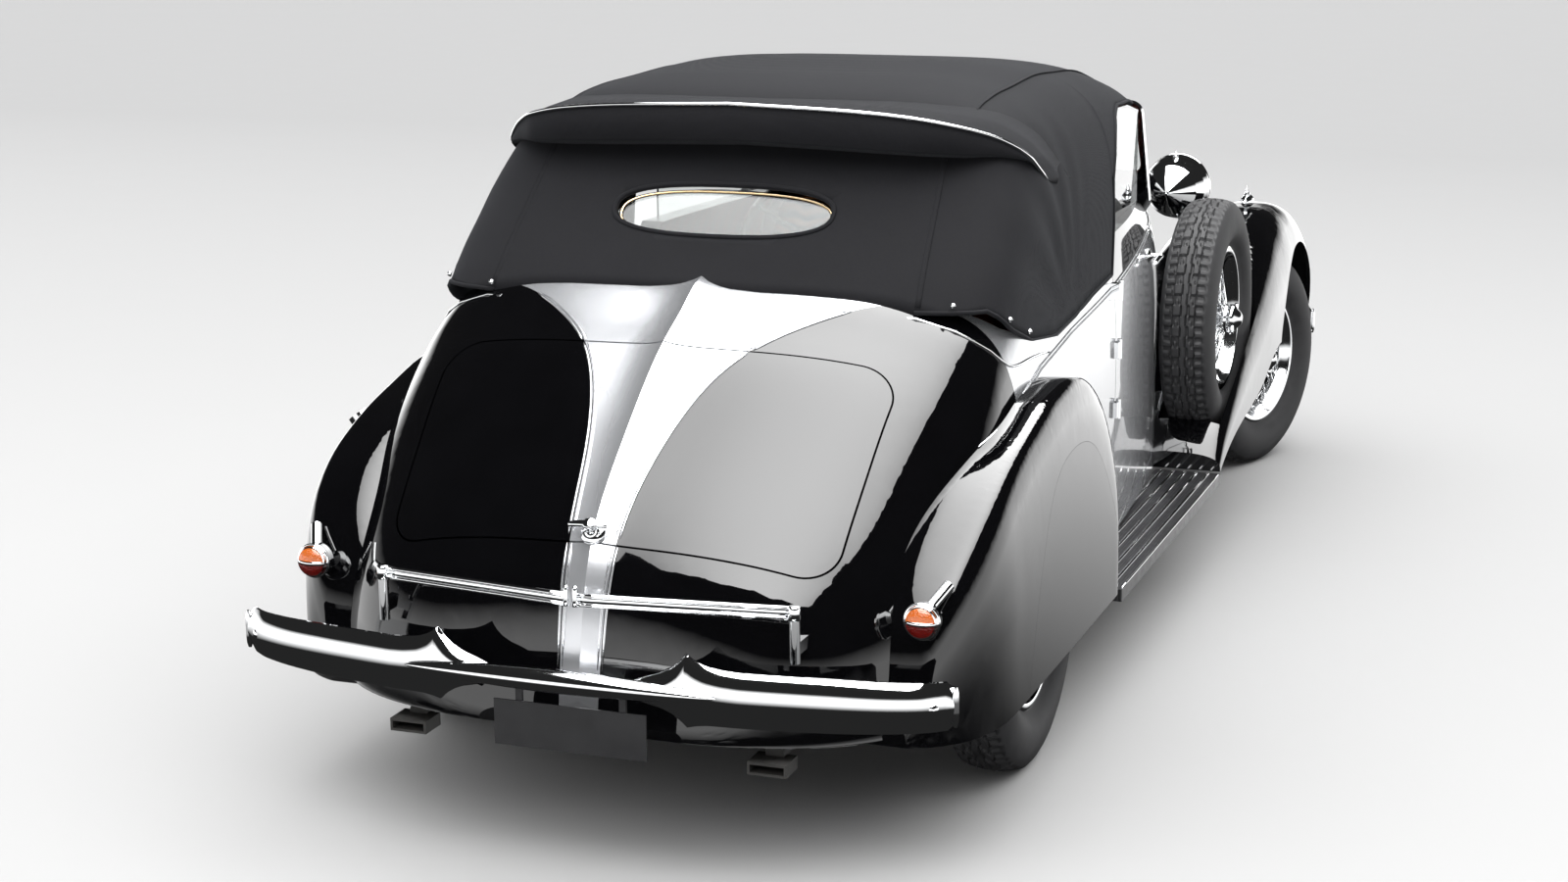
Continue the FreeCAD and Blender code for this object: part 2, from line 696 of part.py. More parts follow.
def chassis():
    lower = []
    for y, z in reversed(RAIL):
        depth = rail_depth if -1900 < y < 1900 else rail_depth * 0.62
        lower.append((y, z - depth))
    outline = RAIL + lower
    rails = [side_prism(outline, side * rail_in, side * rail_out) for side in (-1, 1)]
    crosses = []
    for y, drop in ((-2240, 60), (-1180, 60), (-250, 60), (760, 60), (1760, 60), (2200, 40)):
        z = rail_top(y) - 20
        crosses.append(box(-rail_in - 1, rail_in + 1, y - 28, y + 28, z - drop, z))
    return fuse(*rails, *crosses)


frame = chassis()


def leaf_spring(axle_y, seat_z, half_length, side):
    """Leaf pack bowed up to its eyes, with shackle blocks to the frame rail."""
    middle = (rail_in + rail_out) / 2 * side
    x0, x1 = middle - spring_width / 2, middle + spring_width / 2
    rise, pack = 52.0, 34.0
    low, top = [], []
    for k in range(9):
        share = k / 4 - 1
        y = axle_y + share * half_length
        low.append((y, seat_z + rise * share**2))
        top.append((y, seat_z + rise * share**2 + pack - 20 * abs(share)))
    leaves = side_prism(low + list(reversed(top)), x0, x1)
    blocks = []
    for share in (-1, 1):
        y = axle_y + share * (half_length - 18)
        z0 = seat_z + rise * (abs(y - axle_y) / half_length)**2 + 4
        blocks.append(box(x0 + 8, x1 - 8, y - 12, y + 12, z0, rail_top(y) - 30))
    spring = leaves.fuse(blocks).cut(frame)
    return largest(spring)[0]


springs = [leaf_spring(front_axle_y, front_beam_top, 430, side) for side in (-1, 1)]
springs += [leaf_spring(rear_axle_y, rear_pad_top, 470, side) for side in (-1, 1)]

engine_feet = [box(-rail_in, rail_in, y - 30, y + 30, 478, 508) for y in (-1760, -1330)]
engine = fuse(box(-215, 215, -1960, -900, 470, 930), *engine_feet)
export("engine_block", engine)

# ---------------------------------------------------------------- floor, wheel houses, bulkhead
floor = body_inner.common(box(-800, 800, cowl_y + 24, 2200, floor_z - floor_wall, floor_z))
house = rod((-1000, rear_axle_y, hub_z), (-618, rear_axle_y, hub_z), rear_well_r + 8)
house_in = rod((-1000, rear_axle_y, hub_z), (-626, rear_axle_y, hub_z), rear_well_r)
houses = house.cut(house_in)
house_cut = floor.cut(house).cut(mirror(house))
top_half = box(-900, 900, 900, 2000, floor_z - floor_wall, 1300)
inner_house = houses.common(body_inner).common(top_half)
arch_well = box(-420, 420, 940, 1930, floor_z - 60, floor_z + 1)
hump = box(-432, 432, 928, 1942, floor_z - floor_wall, 690).cut(
    box(-420, 420, 940, 1930, floor_z - 60, 678))
floor = house_cut.cut(arch_well)
floor = fuse(floor, hump, inner_house, mirror(inner_house))
floor = floor.cut(frame)
floor = largest(floor)[0]
export("floor_pan", floor)

bulkhead = body_inner.common(box(-800, 800, cowl_y + 8, cowl_y + 24, floor_z - floor_wall, 1300))
cowl = fuse(*cowl_shell.Solids, bulkhead)
export("cowl", cowl)
bumper_mid_y = 2424.0
for side in (-1, 1):
    middle = side * (rail_in + rail_out) / 2
    tail_shell = tail_shell.cut(box(middle - 19, middle + 19, 2150, bumper_mid_y, bumper_mid_z - 21,
                                    bumper_mid_z + 21))
tail_shell = largest(tail_shell)[0]
export("rear_body", tail_shell)
both("door", door)
export("boot_lid", boot_lid)
export("rear_wings", rear_wing, mirror(rear_wing))
export("wheel_skirts", skirt, mirror(skirt))
front_wing = largest(front_wing.cut(frame))[0]
export("front_wings", front_wing, mirror(front_wing))
export("chassis_frame", frame)
export("leaf_springs", *springs)

# ---------------------------------------------------------------- running boards and exhaust
board = box(-wing_x, -560, board_front_y, board_rear_y, board_top_z - board_wall, board_top_z)
board = largest(board.cut(body_outer).cut(rear_wing_outer).cut(front_wing_outer))[0]
outriggers = []
for y in (-330, 180, 690):
    outriggers.append(box(-600, -rail_out, y - 20, y + 20, 340, 354))
    outriggers.append(box(-600, -584, y - 20, y + 20, board_top_z, 354))
board = fuse(board, *outriggers)
export("running_boards", board, mirror(board))


HANGERS = (-700, 560)


def exhaust(side):
    x, z, radius = side * (rail_out + 42), 274, 22
    pipe = rod((x, -880, z), (x, 2270, z), radius)
    box_can = rod((x, -250, z), (x, 450, z), 38)
    tip = box(x - 46, x + 46, 2250, 2322, z - 34, z - 4)
    tip = tip.cut(box(x - 40, x + 40, 2262, 2340, z - 28, z - 10))
    hangers = []
    for y in HANGERS:
        flange_z = rail_top(y) - rail_depth
        hangers.append(box(side * rail_out, x, y - 8, y + 8, flange_z + 8, flange_z + 20))
    drops = [box(x - 6, x + 6, y - 8, y + 8, z, rail_top(y) - rail_depth + 20) for y in HANGERS]
    return fuse(pipe, box_can, tip, *hangers, *drops)


pipes = [exhaust(side).cut(frame) for side in (-1, 1)]
export("exhaust_pipes", *pipes)

# ---------------------------------------------------------------- bonnet and radiator
BONNET = [(cowl_y - 3, 604, 1175, 5.6), (-960, 548, 1164, 4.8), (-1200, 478, 1152, 4.2),
          (-1450, 404, 1142, 3.7), (-1700, 332, 1132, 3.3), (-1920, 276, 1124, 3.0),
          (bonnet_front_y, 238, 1116, 2.8)]


def bonnet_solid(wall):
    wires = []
    for i, (y, width, top, power) in enumerate(BONNET):
        if wall and i in (0, len(BONNET) - 1):
            y += 1 if i == 0 else -1
        skirt = 20 if wall else 0
        wires.append(arch_wire(y, width - wall, bonnet_low_z, top - wall, power, 8.0, skirt=skirt))
    return loft(wires)


bonnet_outer = bonnet_solid(0)
bonnet_inner = bonnet_solid(bonnet_wall)
bonnet = bonnet_outer.cut(bonnet_inner)
split_rear, split_front = 1010.0, 948.0


def above_split(drop, top=1400):
    return side_prism([(cowl_y + 20, split_rear - drop), (cowl_y + 20, top), (bonnet_front_y - 20, top),
                       (bonnet_front_y - 20, split_front - drop)], -800, 800)


crown_rear, crown_front = BONNET[0][2] + 8, BONNET[-1][2] + 8
hinge_lift = 0.5
hinge_a = (0, cowl_y + 16, crown_rear + hinge_lift)
hinge_b = (0, bonnet_front_y + 4, crown_front + hinge_lift)
hinge_room = hinge_rod_r + 0.6
slot = prism([(-hinge_room, cowl_y + 20, 900), (hinge_room, cowl_y + 20, 900),
              (hinge_room, cowl_y + 20, 1400), (-hinge_room, cowl_y + 20, 1400)],
             (0, bonnet_front_y - cowl_y - 60, 0))
bonnet_top = bonnet.common(above_split(0)).cut(slot)
bonnet_right = [s for s in bonnet_top.Solids if s.CenterOfMass.x < 0][0]
clear_tube = rod(hinge_a, hinge_b, hinge_rod_r + 0.6)
bonnet_right = bonnet_right.cut(clear_tube)
bonnet_side = bonnet.cut(above_split(panel_gap))
bonnet_side = bonnet_side.cut(front_wing_outer).cut(mirror(front_wing_outer))
side_panels = largest(bonnet_side, 2)
both("bonnet", largest(bonnet_right)[0])
export("bonnet_sides", *side_panels)
hinge_rod = rod(hinge_a, hinge_b, hinge_rod_r)
strap = box(-22, 22, cowl_y - 3, cowl_y + 40, 1100, crown_rear + hinge_lift + 2).cut(body_outer)


def radiator(wall_side, wall_top, y0, y1, base):
    wires = []
    for y, width, top in ((y0, 240, 1124), (y1, 226, 1106)):
        wires.append(arch_wire(y, width - wall_side, base, top - wall_top, 3.0))
    return loft(wires)


radiator_y = bonnet_front_y - 2
radiator_front_y = radiator_y - radiator_depth
radiator_outer = radiator(0, 0, radiator_y, radiator_front_y, 452)
radiator_hole = radiator(24, 30, radiator_y + 1, radiator_front_y - 1, 480)
radiator_shell = radiator_outer.cut(radiator_hole)
cap = rod((0, radiator_y - 45, 1080), (0, radiator_y - 45, 1142), 26)
radiator_shell = fuse(radiator_shell, cap.cut(radiator_outer)).cut(frame)
export("radiator_shell", largest(radiator_shell)[0])
bars = [box(x - 3, x + 3, radiator_front_y + 14, radiator_front_y + 34, 400, 1200)
        for x in range(-198, 199, 18)]
rails = [box(-240, 240, radiator_front_y + 20, radiator_front_y + 34, z, z + 10) for z in (560, 740, 920)]
grille = radiator_hole.common(fuse(*bars, *rails))
export("grille", largest(grille)[0])
core = radiator_hole.common(box(-240, 240, radiator_y - 46, radiator_y - 4, 400, 1200))
export("radiator_core", core)
export("bonnet_hinge", fuse(hinge_rod, strap).cut(radiator_outer).cut(body_outer))

# ---------------------------------------------------------------- windscreen
screen_y = -562.0
screen_wall = 24.0
screen_lean = 9.0
screen_base_half, screen_top_half = 628.0, 604.0
screen_low, screen_top = 1080.0, 1436.0


def screen_outline(inset, low_inset):
    corners = [V(-screen_base_half + inset, screen_y, screen_low + low_inset),
               V(screen_base_half - inset, screen_y, screen_low + low_inset),
               V(screen_top_half - inset, screen_y, screen_top - inset),
               V(-screen_top_half + inset, screen_y, screen_top - inset)]
    return Part.Face(rounded(corners, 40 - inset / 2))


lean_at = (0, screen_y, 1190)
screen_frame = screen_outline(0, 0).extrude(V(0, screen_wall, 0))
screen_hole = Part.Face(rounded([V(-screen_base_half + 26, screen_y - 1, 1216),
                                 V(screen_base_half - 26, screen_y - 1, 1216),
                                 V(screen_top_half - 22, screen_y - 1, screen_top - 22),
                                 V(-screen_top_half + 22, screen_y - 1, screen_top - 22)], 26))
screen_hole = screen_hole.extrude(V(0, screen_wall + 2, 0))
screen_glass = screen_hole.common(box(-700, 700, screen_y + 9, screen_y + 9 + glass, 1000, 1500))
screen_frame = screen_frame.cut(screen_hole)
lean_axis = (-1, 0, 0)
screen_frame = turned(screen_frame, lean_at, lean_axis, screen_lean)
screen_glass = turned(screen_glass, lean_at, lean_axis, screen_lean)
body_filled = body_outer.cut(cockpit)
screen_frame = largest(screen_frame.cut(body_filled))[0]
export("windscreen_frame", screen_frame)
export("windscreen_glass", screen_glass)

# ---------------------------------------------------------------- folding hood
# station y, half width, crown height, squareness of the section
HOOD = even([(-530, 634, 1452, 7.0), (-300, 676, 1532, 5.6), (0, 704, 1598, 4.9), (250, 720, 1628, 4.6),
             (500, 729, 1640, 4.5), (800, 737, 1636, 4.6), (1040, 742, 1614, 4.8), (1140, 744, 1588, 5.0),
             (1230, 744, 1530, 5.0), (1330, 744, 1436, 5.0), (1430, 741, 1344, 4.8), (1530, 728, 1250, 4.4),
             (1590, 700, 1190, 4.0), (1630, 670, 1148, 3.6)], 120)
hood_low_z = 975.0


def hood_solid(wall):
    wires = []
    for i, (y, width, top, power) in enumerate(HOOD):
        if wall:
            before, after = HOOD[max(i - 1, 0)], HOOD[min(i + 1, len(HOOD) - 1)]
            slope = atan2(after[2] - before[2], after[0] - before[0])
            y += wall * sin(slope) if i else -1
            top -= wall * cos(slope)
            wires.append(arch_wire(y, width - wall, hood_low_z, top, power, 0.0, skirt=20))
        else:
            wires.append(arch_wire(y, width, hood_low_z, top, power))
    return loft(wires)


hood_outer = hood_solid(0)
hood_inner = hood_solid(hood_wall)
hood = hood_outer.cut(hood_inner)
WINDOW = [(350, 960), (352, 1080), (322, 1310), (219, 1407), (118, 1459), (16, 1477), (-250, 1462),
          (-520, 1422), (-700, 1400), (-700, 960)]
hood = hood.cut(side_prism(WINDOW, -900, 900))
hood = hood.cut(moved(body_filled, 0, 0, fabric_gap))
hood = hood.cut(screen_frame).cut(moved(screen_frame, 0, 0, fabric_gap))
hood = largest(hood)[0]

# rear edge of the roof: a peaked flange that overhangs the back panel
PEAK = [(0, 1380, 1600, 86), (300, 1376, 1590, 86), (450, 1366, 1578, 80), (560, 1326, 1556, 66),
        (630, 1252, 1528, 46), (680, 1190, 1494, 24), (706, 1152, 1464, 8)]


def peak_section(x, y, z, drop):
    points = [(x, y, z), (x, y + 6, z - drop), (x, y - 120, z - drop - 30), (x, y - 250, z - 60),
              (x, y - 250, z + 4)]
    return wire(points)


half_peak = [peak_section(-x, y, z, drop) for x, y, z, drop in PEAK]
peak = Part.makeLoft(list(reversed(half_peak)), True, True)
peak = peak.fuse(mirror(peak)).cut(hood_inner)
hood = fuse(hood, *peak.Solids)
hood = largest(hood)[0]

window_at = V(0, 1424, 1340)
panel_normal = V(0, 0.69, 0.724)
window_plane = Part.Ellipse()
window_plane.Center = V(0, 0, 0)
window_plane.MajorRadius = 285
window_plane.MinorRadius = 78
oval = Part.Face(Part.Wire(window_plane.toShape())).extrude(V(0, 0, 200))
oval.translate(V(0, 0, -100))
oval.rotate(V(0, 0, 0), V(-1, 0, 0), degrees(atan2(panel_normal.y, panel_normal.z)))
oval.translate(window_at)
hood = largest(hood.cut(oval))[0]
export("hood_top", hood)
slab = box(-400, 400, -400, 400, -16, -11)
slab.rotate(V(0, 0, 0), V(-1, 0, 0), degrees(atan2(panel_normal.y, panel_normal.z)))
slab.translate(window_at)
export("rear_window_glass", oval.common(slab))

# ---------------------------------------------------------------- door furniture and glass
door_hinge_x = 748.5
door_hinge_y = door_rear_y + 2
HINGE_HEIGHTS = (1000.0, 834.0, 663.0)
pin_r = 7.0
door_hinges = []
for z in HINGE_HEIGHTS:
    barrel = rod((-door_hinge_x, door_hinge_y, z - 28), (-door_hinge_x, door_hinge_y, z + 28), pin_r)
    leaf = box(-door_hinge_x + 1, -660, door_hinge_y + 3, door_hinge_y + 30, z - 22, z + 22)
    leaf = leaf.cut(body_outer)
    wing = box(-door_hinge_x - 3, -door_hinge_x + 3, door_hinge_y, door_hinge_y + 30, z - 22, z + 22)
    wing = wing.cut(body_outer)
    door_hinges.append(fuse(barrel, wing, leaf))
export("door_hinges", *door_hinges, *[mirror(h) for h in door_hinges])

glass_rear_x, glass_front_x = 664.0, 606.0
GLASS = [(306, sill_top_z + 0.3), (304, 1303), (208, 1394), (110, 1446), (8, 1463), (-250, 1448),
         (-472, 1410), (-478, sill_top_z + 0.3)]


def door_glass():
    points = []
    for y, z in GLASS:
        x = glass_front_x + (glass_rear_x - glass_front_x) * (y - door_front_y) / (door_rear_y - door_front_y)
        points.append((-x, y, z))
    return prism(points, (glass, 0, 0))


both("door_glass", door_glass())

# ---------------------------------------------------------------- lamps
head_x, head_y, head_z = 418.0, -1880.0, 974.0
BOWL = [(-72, 0), (-72, 96), (-78, 112), (-70, 118), (-56, 116), (-20, 108), (30, 88), (80, 56), (112, 26),
        (126, 10), (128, 0)]


def headlamp():
    bowl = revolved(BOWL, (-head_x, head_y, head_z), (0, 1, 0))
    post = rod((-head_x - 20, head_y, head_z - 20), (-head_x - 60, head_y, 640), 13)
    return fuse(bowl, post.cut(front_wing_outer)).Solids


head = largest(Part.makeCompound(headlamp()))[0]
export("headlamps", head, mirror(head))
lens_shape = [(-73, 0), (-73, 104), (-80, 104), (-92, 70), (-98, 0)]
lens = revolved(lens_shape, (-head_x, head_y, head_z), (0, 1, 0))
lens = lens.cut(head)
export("headlamp_lenses", lens, mirror(lens))

park_x, park_y, park_z = 719.0, -1683.0, 969.0
park_shell = [(-34, 0), (-30, 16), (-14, 23), (10, 21), (40, 10), (62, 0)]
park = revolved(park_shell, (-park_x, park_y, park_z), (0, 1, 0))
park = fuse(park, box(-park_x - 5, -park_x + 5, park_y - 20, park_y + 20, 900, park_z)).cut(front_wing_outer)
park = largest(park)[0]
export("parking_lamps", park, mirror(park))

tail_x, tail_y, tail_z = 753.0, 2169.0, 585.0
lamp = revolved([(-30, 0), (-26, 26), (-14, 38), (14, 40), (26, 36), (32, 20), (34, 0)],
                (-tail_x, tail_y, tail_z), (0, 1, 0))
bracket = rod((-tail_x, tail_y, tail_z + 10), (-790, 2100, 648), 13)
tail_lamp = fuse(lamp, bracket).cut(rear_wing_outer).cut(body_outer)
tail_lamp = largest(tail_lamp)[0]
export("tail_lamps", tail_lamp, mirror(tail_lamp))

# ---------------------------------------------------------------- bumpers and plate
BLADE_PLAN = [(868, 2306), (800, 2352), (700, 2386), (560, 2414), (400, 2436), (200, 2449), (120, 2451)]


def bumper_blade():
    """Right-hand blade: bowed in plan, with a pointed fin over and under its inner end."""
    outer = [(-x, y, 0) for x, y in BLADE_PLAN]
    inner = [(-x * 0.99, y - blade_wall, 0) for x, y in BLADE_PLAN]
    ends = [Part.makeLine(V(*outer[-1]), V(*inner[-1])), Part.makeLine(V(*inner[0]), V(*outer[0]))]
    bowed = Part.Face(Part.Wire([spline(outer), ends[0], spline(list(reversed(inner))), ends[1]]))
    bowed = bowed.extrude(V(0, 0, 900))
    mid = bumper_mid_z
    top = [(866, mid + 30), (850, mid + 54), (620, mid + 62), (420, mid + 64), (345, mid + 76),
           (299, mid + 98)]
    nose = [(299, mid + 98), (262, mid + 58), (206, mid + 40), (150, mid + 14)]
    tail = [(150, mid - 8), (206, mid - 24), (262, mid - 40), (299, mid - 69)]
    low = [(299, mid - 69), (345, mid - 62), (420, mid - 62), (620, mid - 60), (850, mid - 54),
           (866, mid - 30)]

    def edge(points):
        return spline([(-x, 2200, z) for x, z in points])
    close = [Part.makeLine(V(-150, 2200, mid + 14), V(-150, 2200, mid - 8)),
             Part.makeLine(V(-866, 2200, mid - 30), V(-866, 2200, mid + 30))]
    face = Part.Face(Part.Wire([edge(top), edge(nose), close[0], edge(tail), edge(low), close[1]]))
    return bowed.common(face.extrude(V(0, 300, 0)))


spear_half, spear_r, spear_y, spear_z = 376.0, 27.0, 2448.0, 452.0
spear_points = [(-spear_half, 0)]
for k in range(1, 12):
    share = k / 6 - 1
    spear_points.append((share * spear_half, spear_r * (1 - share**2)**0.7))
spear_points.append((spear_half, 0))
spear = revolved(spear_points, (0, spear_y, spear_z), (1, 0, 0))
blade = bumper_blade()
blade_x = (rail_in + rail_out) / 2


def bumper(reach_y):
    arms = []
    for side in (-1, 1):
        arms.append(box(side * blade_x - 14, side * blade_x + 14, reach_y, 2424, bumper_mid_z - 16,
                        bumper_mid_z + 16))
    bar = box(-300, 300, 2404, 2428, bumper_mid_z - 6, bumper_mid_z + 14)
    return fuse(blade, mirror(blade), spear, bar, *arms)


rear_bumper = bumper(2200).cut(frame)
rear_bumper = largest(rear_bumper)[0]
export("rear_bumper", rear_bumper)
front_bumper = bumper(2270).mirror(V(0, 0, 0), V(0, 1, 0)).cut(frame)
export("front_bumper", largest(front_bumper)[0])

plate = box(-207, 160, 2432, 2436, 286, 392)
hangers = [box(x - 8, x + 8, 2424, 2432, 340, bumper_mid_z - 6) for x in (-150, 100)]
plate = fuse(plate, *hangers).cut(rear_bumper)
export("licence_plate", largest(plate)[0])

# ---------------------------------------------------------------- luggage rack
rack_x, rack_y, rack_z = 502.0, 2298.0, 613.0
rack_tip_y = 2361.0
post = fuse(rod((-rack_x, rack_y, 500), (-rack_x, rack_y, rack_z - 16.5), 12),
            rod((-rack_x, rack_y, rack_z - 20), (-rack_x, rack_y, rack_z + 14), 6),
            box(-rack_x - 11, -rack_x + 11, 2160, rack_y, 520, 548)).cut(body_outer)
post = largest(post)[0]
arm = fuse(rod((-rack_x, rack_y, rack_z - 16), (-rack_x, rack_y, rack_z + 16), 14),
           prism([(-rack_x, rack_y - 8, rack_z - 16), (-3, rack_tip_y - 8, rack_z - 16),
                  (-3, rack_tip_y - 8, rack_z + 16), (-rack_x, rack_y - 8, rack_z + 16)], (0, 16, 0)),
           box(-14, -3, rack_tip_y - 8, rack_tip_y + 8, rack_z, rack_z + 34))
arm = arm.cut(rod((-rack_x, rack_y, rack_z - 30), (-rack_x, rack_y, rack_z + 15), 6 + bearing_gap))
export("rack_posts", post, mirror(post))
both("rack_arm", arm)

# ---------------------------------------------------------------- fuel filler
filler_at, filler_along = V(862, 1730, 822), V(0.6, 0, 0.8)
filler = Part.makeCylinder(31, 60, filler_at - filler_along * 40, filler_along).cut(mirror(rear_wing_outer))
filler = filler.common(Part.makeCylinder(31, 22, filler_at - filler_along * 4, filler_along))
export("fuel_filler_cap", largest(filler)[0])

# ---------------------------------------------------------------- cabin
dash = body_inner.common(box(-800, 800, -520, -500, 930, sill_top_z - 4))

wheel_centre = V(360, -150, 1020)
column_foot = V(360, cowl_y + 24, 700)
column_along = (wheel_centre - column_foot).normalize()
column_end = wheel_centre - column_along * 26
dash = dash.cut(Part.makeCylinder(22.3, 900, column_foot, column_along))
export("dashboard", dash)
column = Part.makeCylinder(22, (column_end - column_foot).Length + 40, column_foot - column_along * 40,
                           column_along)
column = column.fuse(Part.makeCylinder(9, 60, column_end - column_along * 20, column_along))
column = largest(column.cut(box(-800, 800, -900, cowl_y + 24, 0, 1400)))[0]
export("steering_column", column)
rim_torus = Part.makeTorus(205, 12, wheel_centre, column_along)
hub = Part.makeCylinder(30, 34, wheel_centre - column_along * 25, column_along)
arms = []
across = V(1, 0, 0)
upward = column_along.cross(across)
for angle in (90, 210, 330):
    away = across * cos(radians(angle)) + upward * sin(radians(angle))
    arms.append(rod(tuple(wheel_centre), tuple(wheel_centre + away * 205), 6))
steering_wheel = fuse(rim_torus, hub, *arms)
steering_wheel = steering_wheel.cut(Part.makeCylinder(9 + bearing_gap, 36, wheel_centre - column_along * 26,
                                                      column_along))
steering_wheel = steering_wheel.cut(Part.makeCylinder(9.2, 60, column_end - column_along * 20, column_along))
export("steering_wheel", steering_wheel)


def seat(x0, x1, y0, y1, cushion_z, back_z, base_z, back_depth, rake):
    """Cushion and squab in one outline, with softened corners."""
    outline = [(y0, base_z), (y0, cushion_z), (y1 - back_depth - 40, cushion_z - 20),
               (y1 - back_depth + rake, back_z), (y1 + rake, back_z), (y1, base_z)]
    block = side_prism(outline, x0, x1)
    return block.makeFillet(18, [e for e in block.Edges if e.Length > 120])


seat_floor = floor_z + fabric_gap
front_seat = seat(-560, -40, 40, 560, 760, 1160, seat_floor, 120, 70)
export("front_seats", front_seat, mirror(front_seat))
rear_seat = seat(-590, 590, 760, 1160, 800, 1180, seat_floor, 120, 60)
rear_seat = rear_seat.cut(moved(floor, 0, 0, fabric_gap)).cut(floor)
export("rear_seat", largest(rear_seat)[0])
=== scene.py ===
import math
import bmesh
import bpy
import numpy as np
from mathutils import Matrix, Vector
from mathutils.bvhtree import BVHTree


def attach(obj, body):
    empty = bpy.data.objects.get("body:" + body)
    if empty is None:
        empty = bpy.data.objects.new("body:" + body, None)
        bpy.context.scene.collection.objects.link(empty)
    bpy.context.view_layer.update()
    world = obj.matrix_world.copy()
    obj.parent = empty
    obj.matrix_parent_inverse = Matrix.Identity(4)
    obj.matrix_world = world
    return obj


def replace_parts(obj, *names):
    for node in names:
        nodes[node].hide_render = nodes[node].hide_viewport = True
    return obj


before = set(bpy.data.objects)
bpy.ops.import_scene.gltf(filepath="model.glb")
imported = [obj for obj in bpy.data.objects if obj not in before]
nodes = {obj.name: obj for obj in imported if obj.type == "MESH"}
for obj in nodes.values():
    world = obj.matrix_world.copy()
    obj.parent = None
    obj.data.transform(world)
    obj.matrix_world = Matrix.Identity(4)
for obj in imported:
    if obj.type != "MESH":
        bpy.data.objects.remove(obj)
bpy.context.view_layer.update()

# ---------------------------------------------------------------- coachwork enamel
# Pressed steel panels on a wood frame, rubbed down and finished in black enamel, with a silver
# centre band over the tail and silver door and quarter panels below the waist moulding.


class Signal:
    """A value on its way through a finish: arithmetic on it adds Math nodes."""

    def __init__(self, tree, socket):
        self.tree = tree
        self.socket = socket

    def math(self, operation, *others):
        node = self.tree.nodes.new("ShaderNodeMath")
        node.operation = operation
        for place, value in enumerate((self,) + others):
            if isinstance(value, Signal):
                self.tree.links.new(value.socket, node.inputs[place])
            else:
                node.inputs[place].default_value = value
        return Signal(self.tree, node.outputs[0])

    def __add__(self, other):
        return self.math("ADD", other)

    def __sub__(self, other):
        return self.math("SUBTRACT", other)

    def __mul__(self, other):
        return self.math("MULTIPLY", other)

    def __truediv__(self, other):
        return self.math("DIVIDE", other)

    def __rsub__(self, other):
        return self.math("MULTIPLY", -1.0) + other

    def __abs__(self):
        return self.math("ABSOLUTE")

    def below(self, limit, soft):
        """1 where the value is under the limit, 0 above it, over a soft edge."""
        gap = self - limit
        return (gap / -soft + 0.5).math("MAXIMUM", 0.0).math("MINIMUM", 1.0)

    __radd__ = __add__
    __rmul__ = __mul__


class Finish:
    """One material: uniform values go straight on the shader, varying ones are fed to it."""

    def __init__(self, name, **uniform):
        self.material = bpy.data.materials.new(name)
        self.material.use_nodes = True
        self.tree = self.material.node_tree
        self.shader = self.tree.nodes["Principled BSDF"]
        for words, value in uniform.items():
            self.shader.inputs[words.replace("_", " ")].default_value = value
        self.place = self.node("TexCoord", result="Object")

    def node(self, kind, settings=None, sockets=None, result=0):
        made = self.tree.nodes.new("ShaderNode" + kind)
        for key, value in (settings or {}).items():
            if key == "stops":
                ramp = made.color_ramp
                while len(ramp.elements) < len(value):
                    ramp.elements.new(0.5)
                for element, (at, colour) in zip(ramp.elements, value):
                    element.position = at
                    element.color = colour if len(colour) == 4 else (*colour, 1.0)
            else:
                setattr(made, key, value)
        for key, value in (sockets or {}).items():
            if isinstance(value, Signal):
                self.tree.links.new(value.socket, made.inputs[key])
            else:
                made.inputs[key].default_value = value
        return Signal(self.tree, made.outputs[result])

    def axes(self):
        split = self.tree.nodes.new("ShaderNodeSeparateXYZ")
        self.tree.links.new(self.place.socket, split.inputs[0])
        return [Signal(self.tree, s) for s in split.outputs]

    def noise(self, scale, detail=3.0, stretch=(1, 1, 1)):
        spread = self.node("VectorMath", {"operation": "MULTIPLY"}, {0: self.place, 1: stretch})
        return self.node("TexNoise", {}, {"Vector": spread, "Scale": scale, "Detail": detail})

    def mix(self, share, first, second):
        return self.node("Mix", {"data_type": "RGBA"}, {0: share, 6: first, 7: second}, 2)

    def feed(self, **varying):
        for words, value in varying.items():
            self.tree.links.new(value.socket, self.shader.inputs[words.replace("_", " ")])
        return self

    def relief(self, height, distance, strength=1.0):
        bump = self.node("Bump", {}, {"Height": height, "Distance": distance, "Strength": strength})
        return self.feed(Normal=bump)


BLACK = (0.0012, 0.0012, 0.0015, 1.0)
SILVER = (0.56, 0.57, 0.59, 1.0)
waist_stops = [(-0.760, 1.066), (-0.560, 1.060), (0.342, 1.005), (0.900, 0.985), (1.250, 0.960),
               (1.500, 0.915), (1.745, 0.863), (1.800, 0.845)]


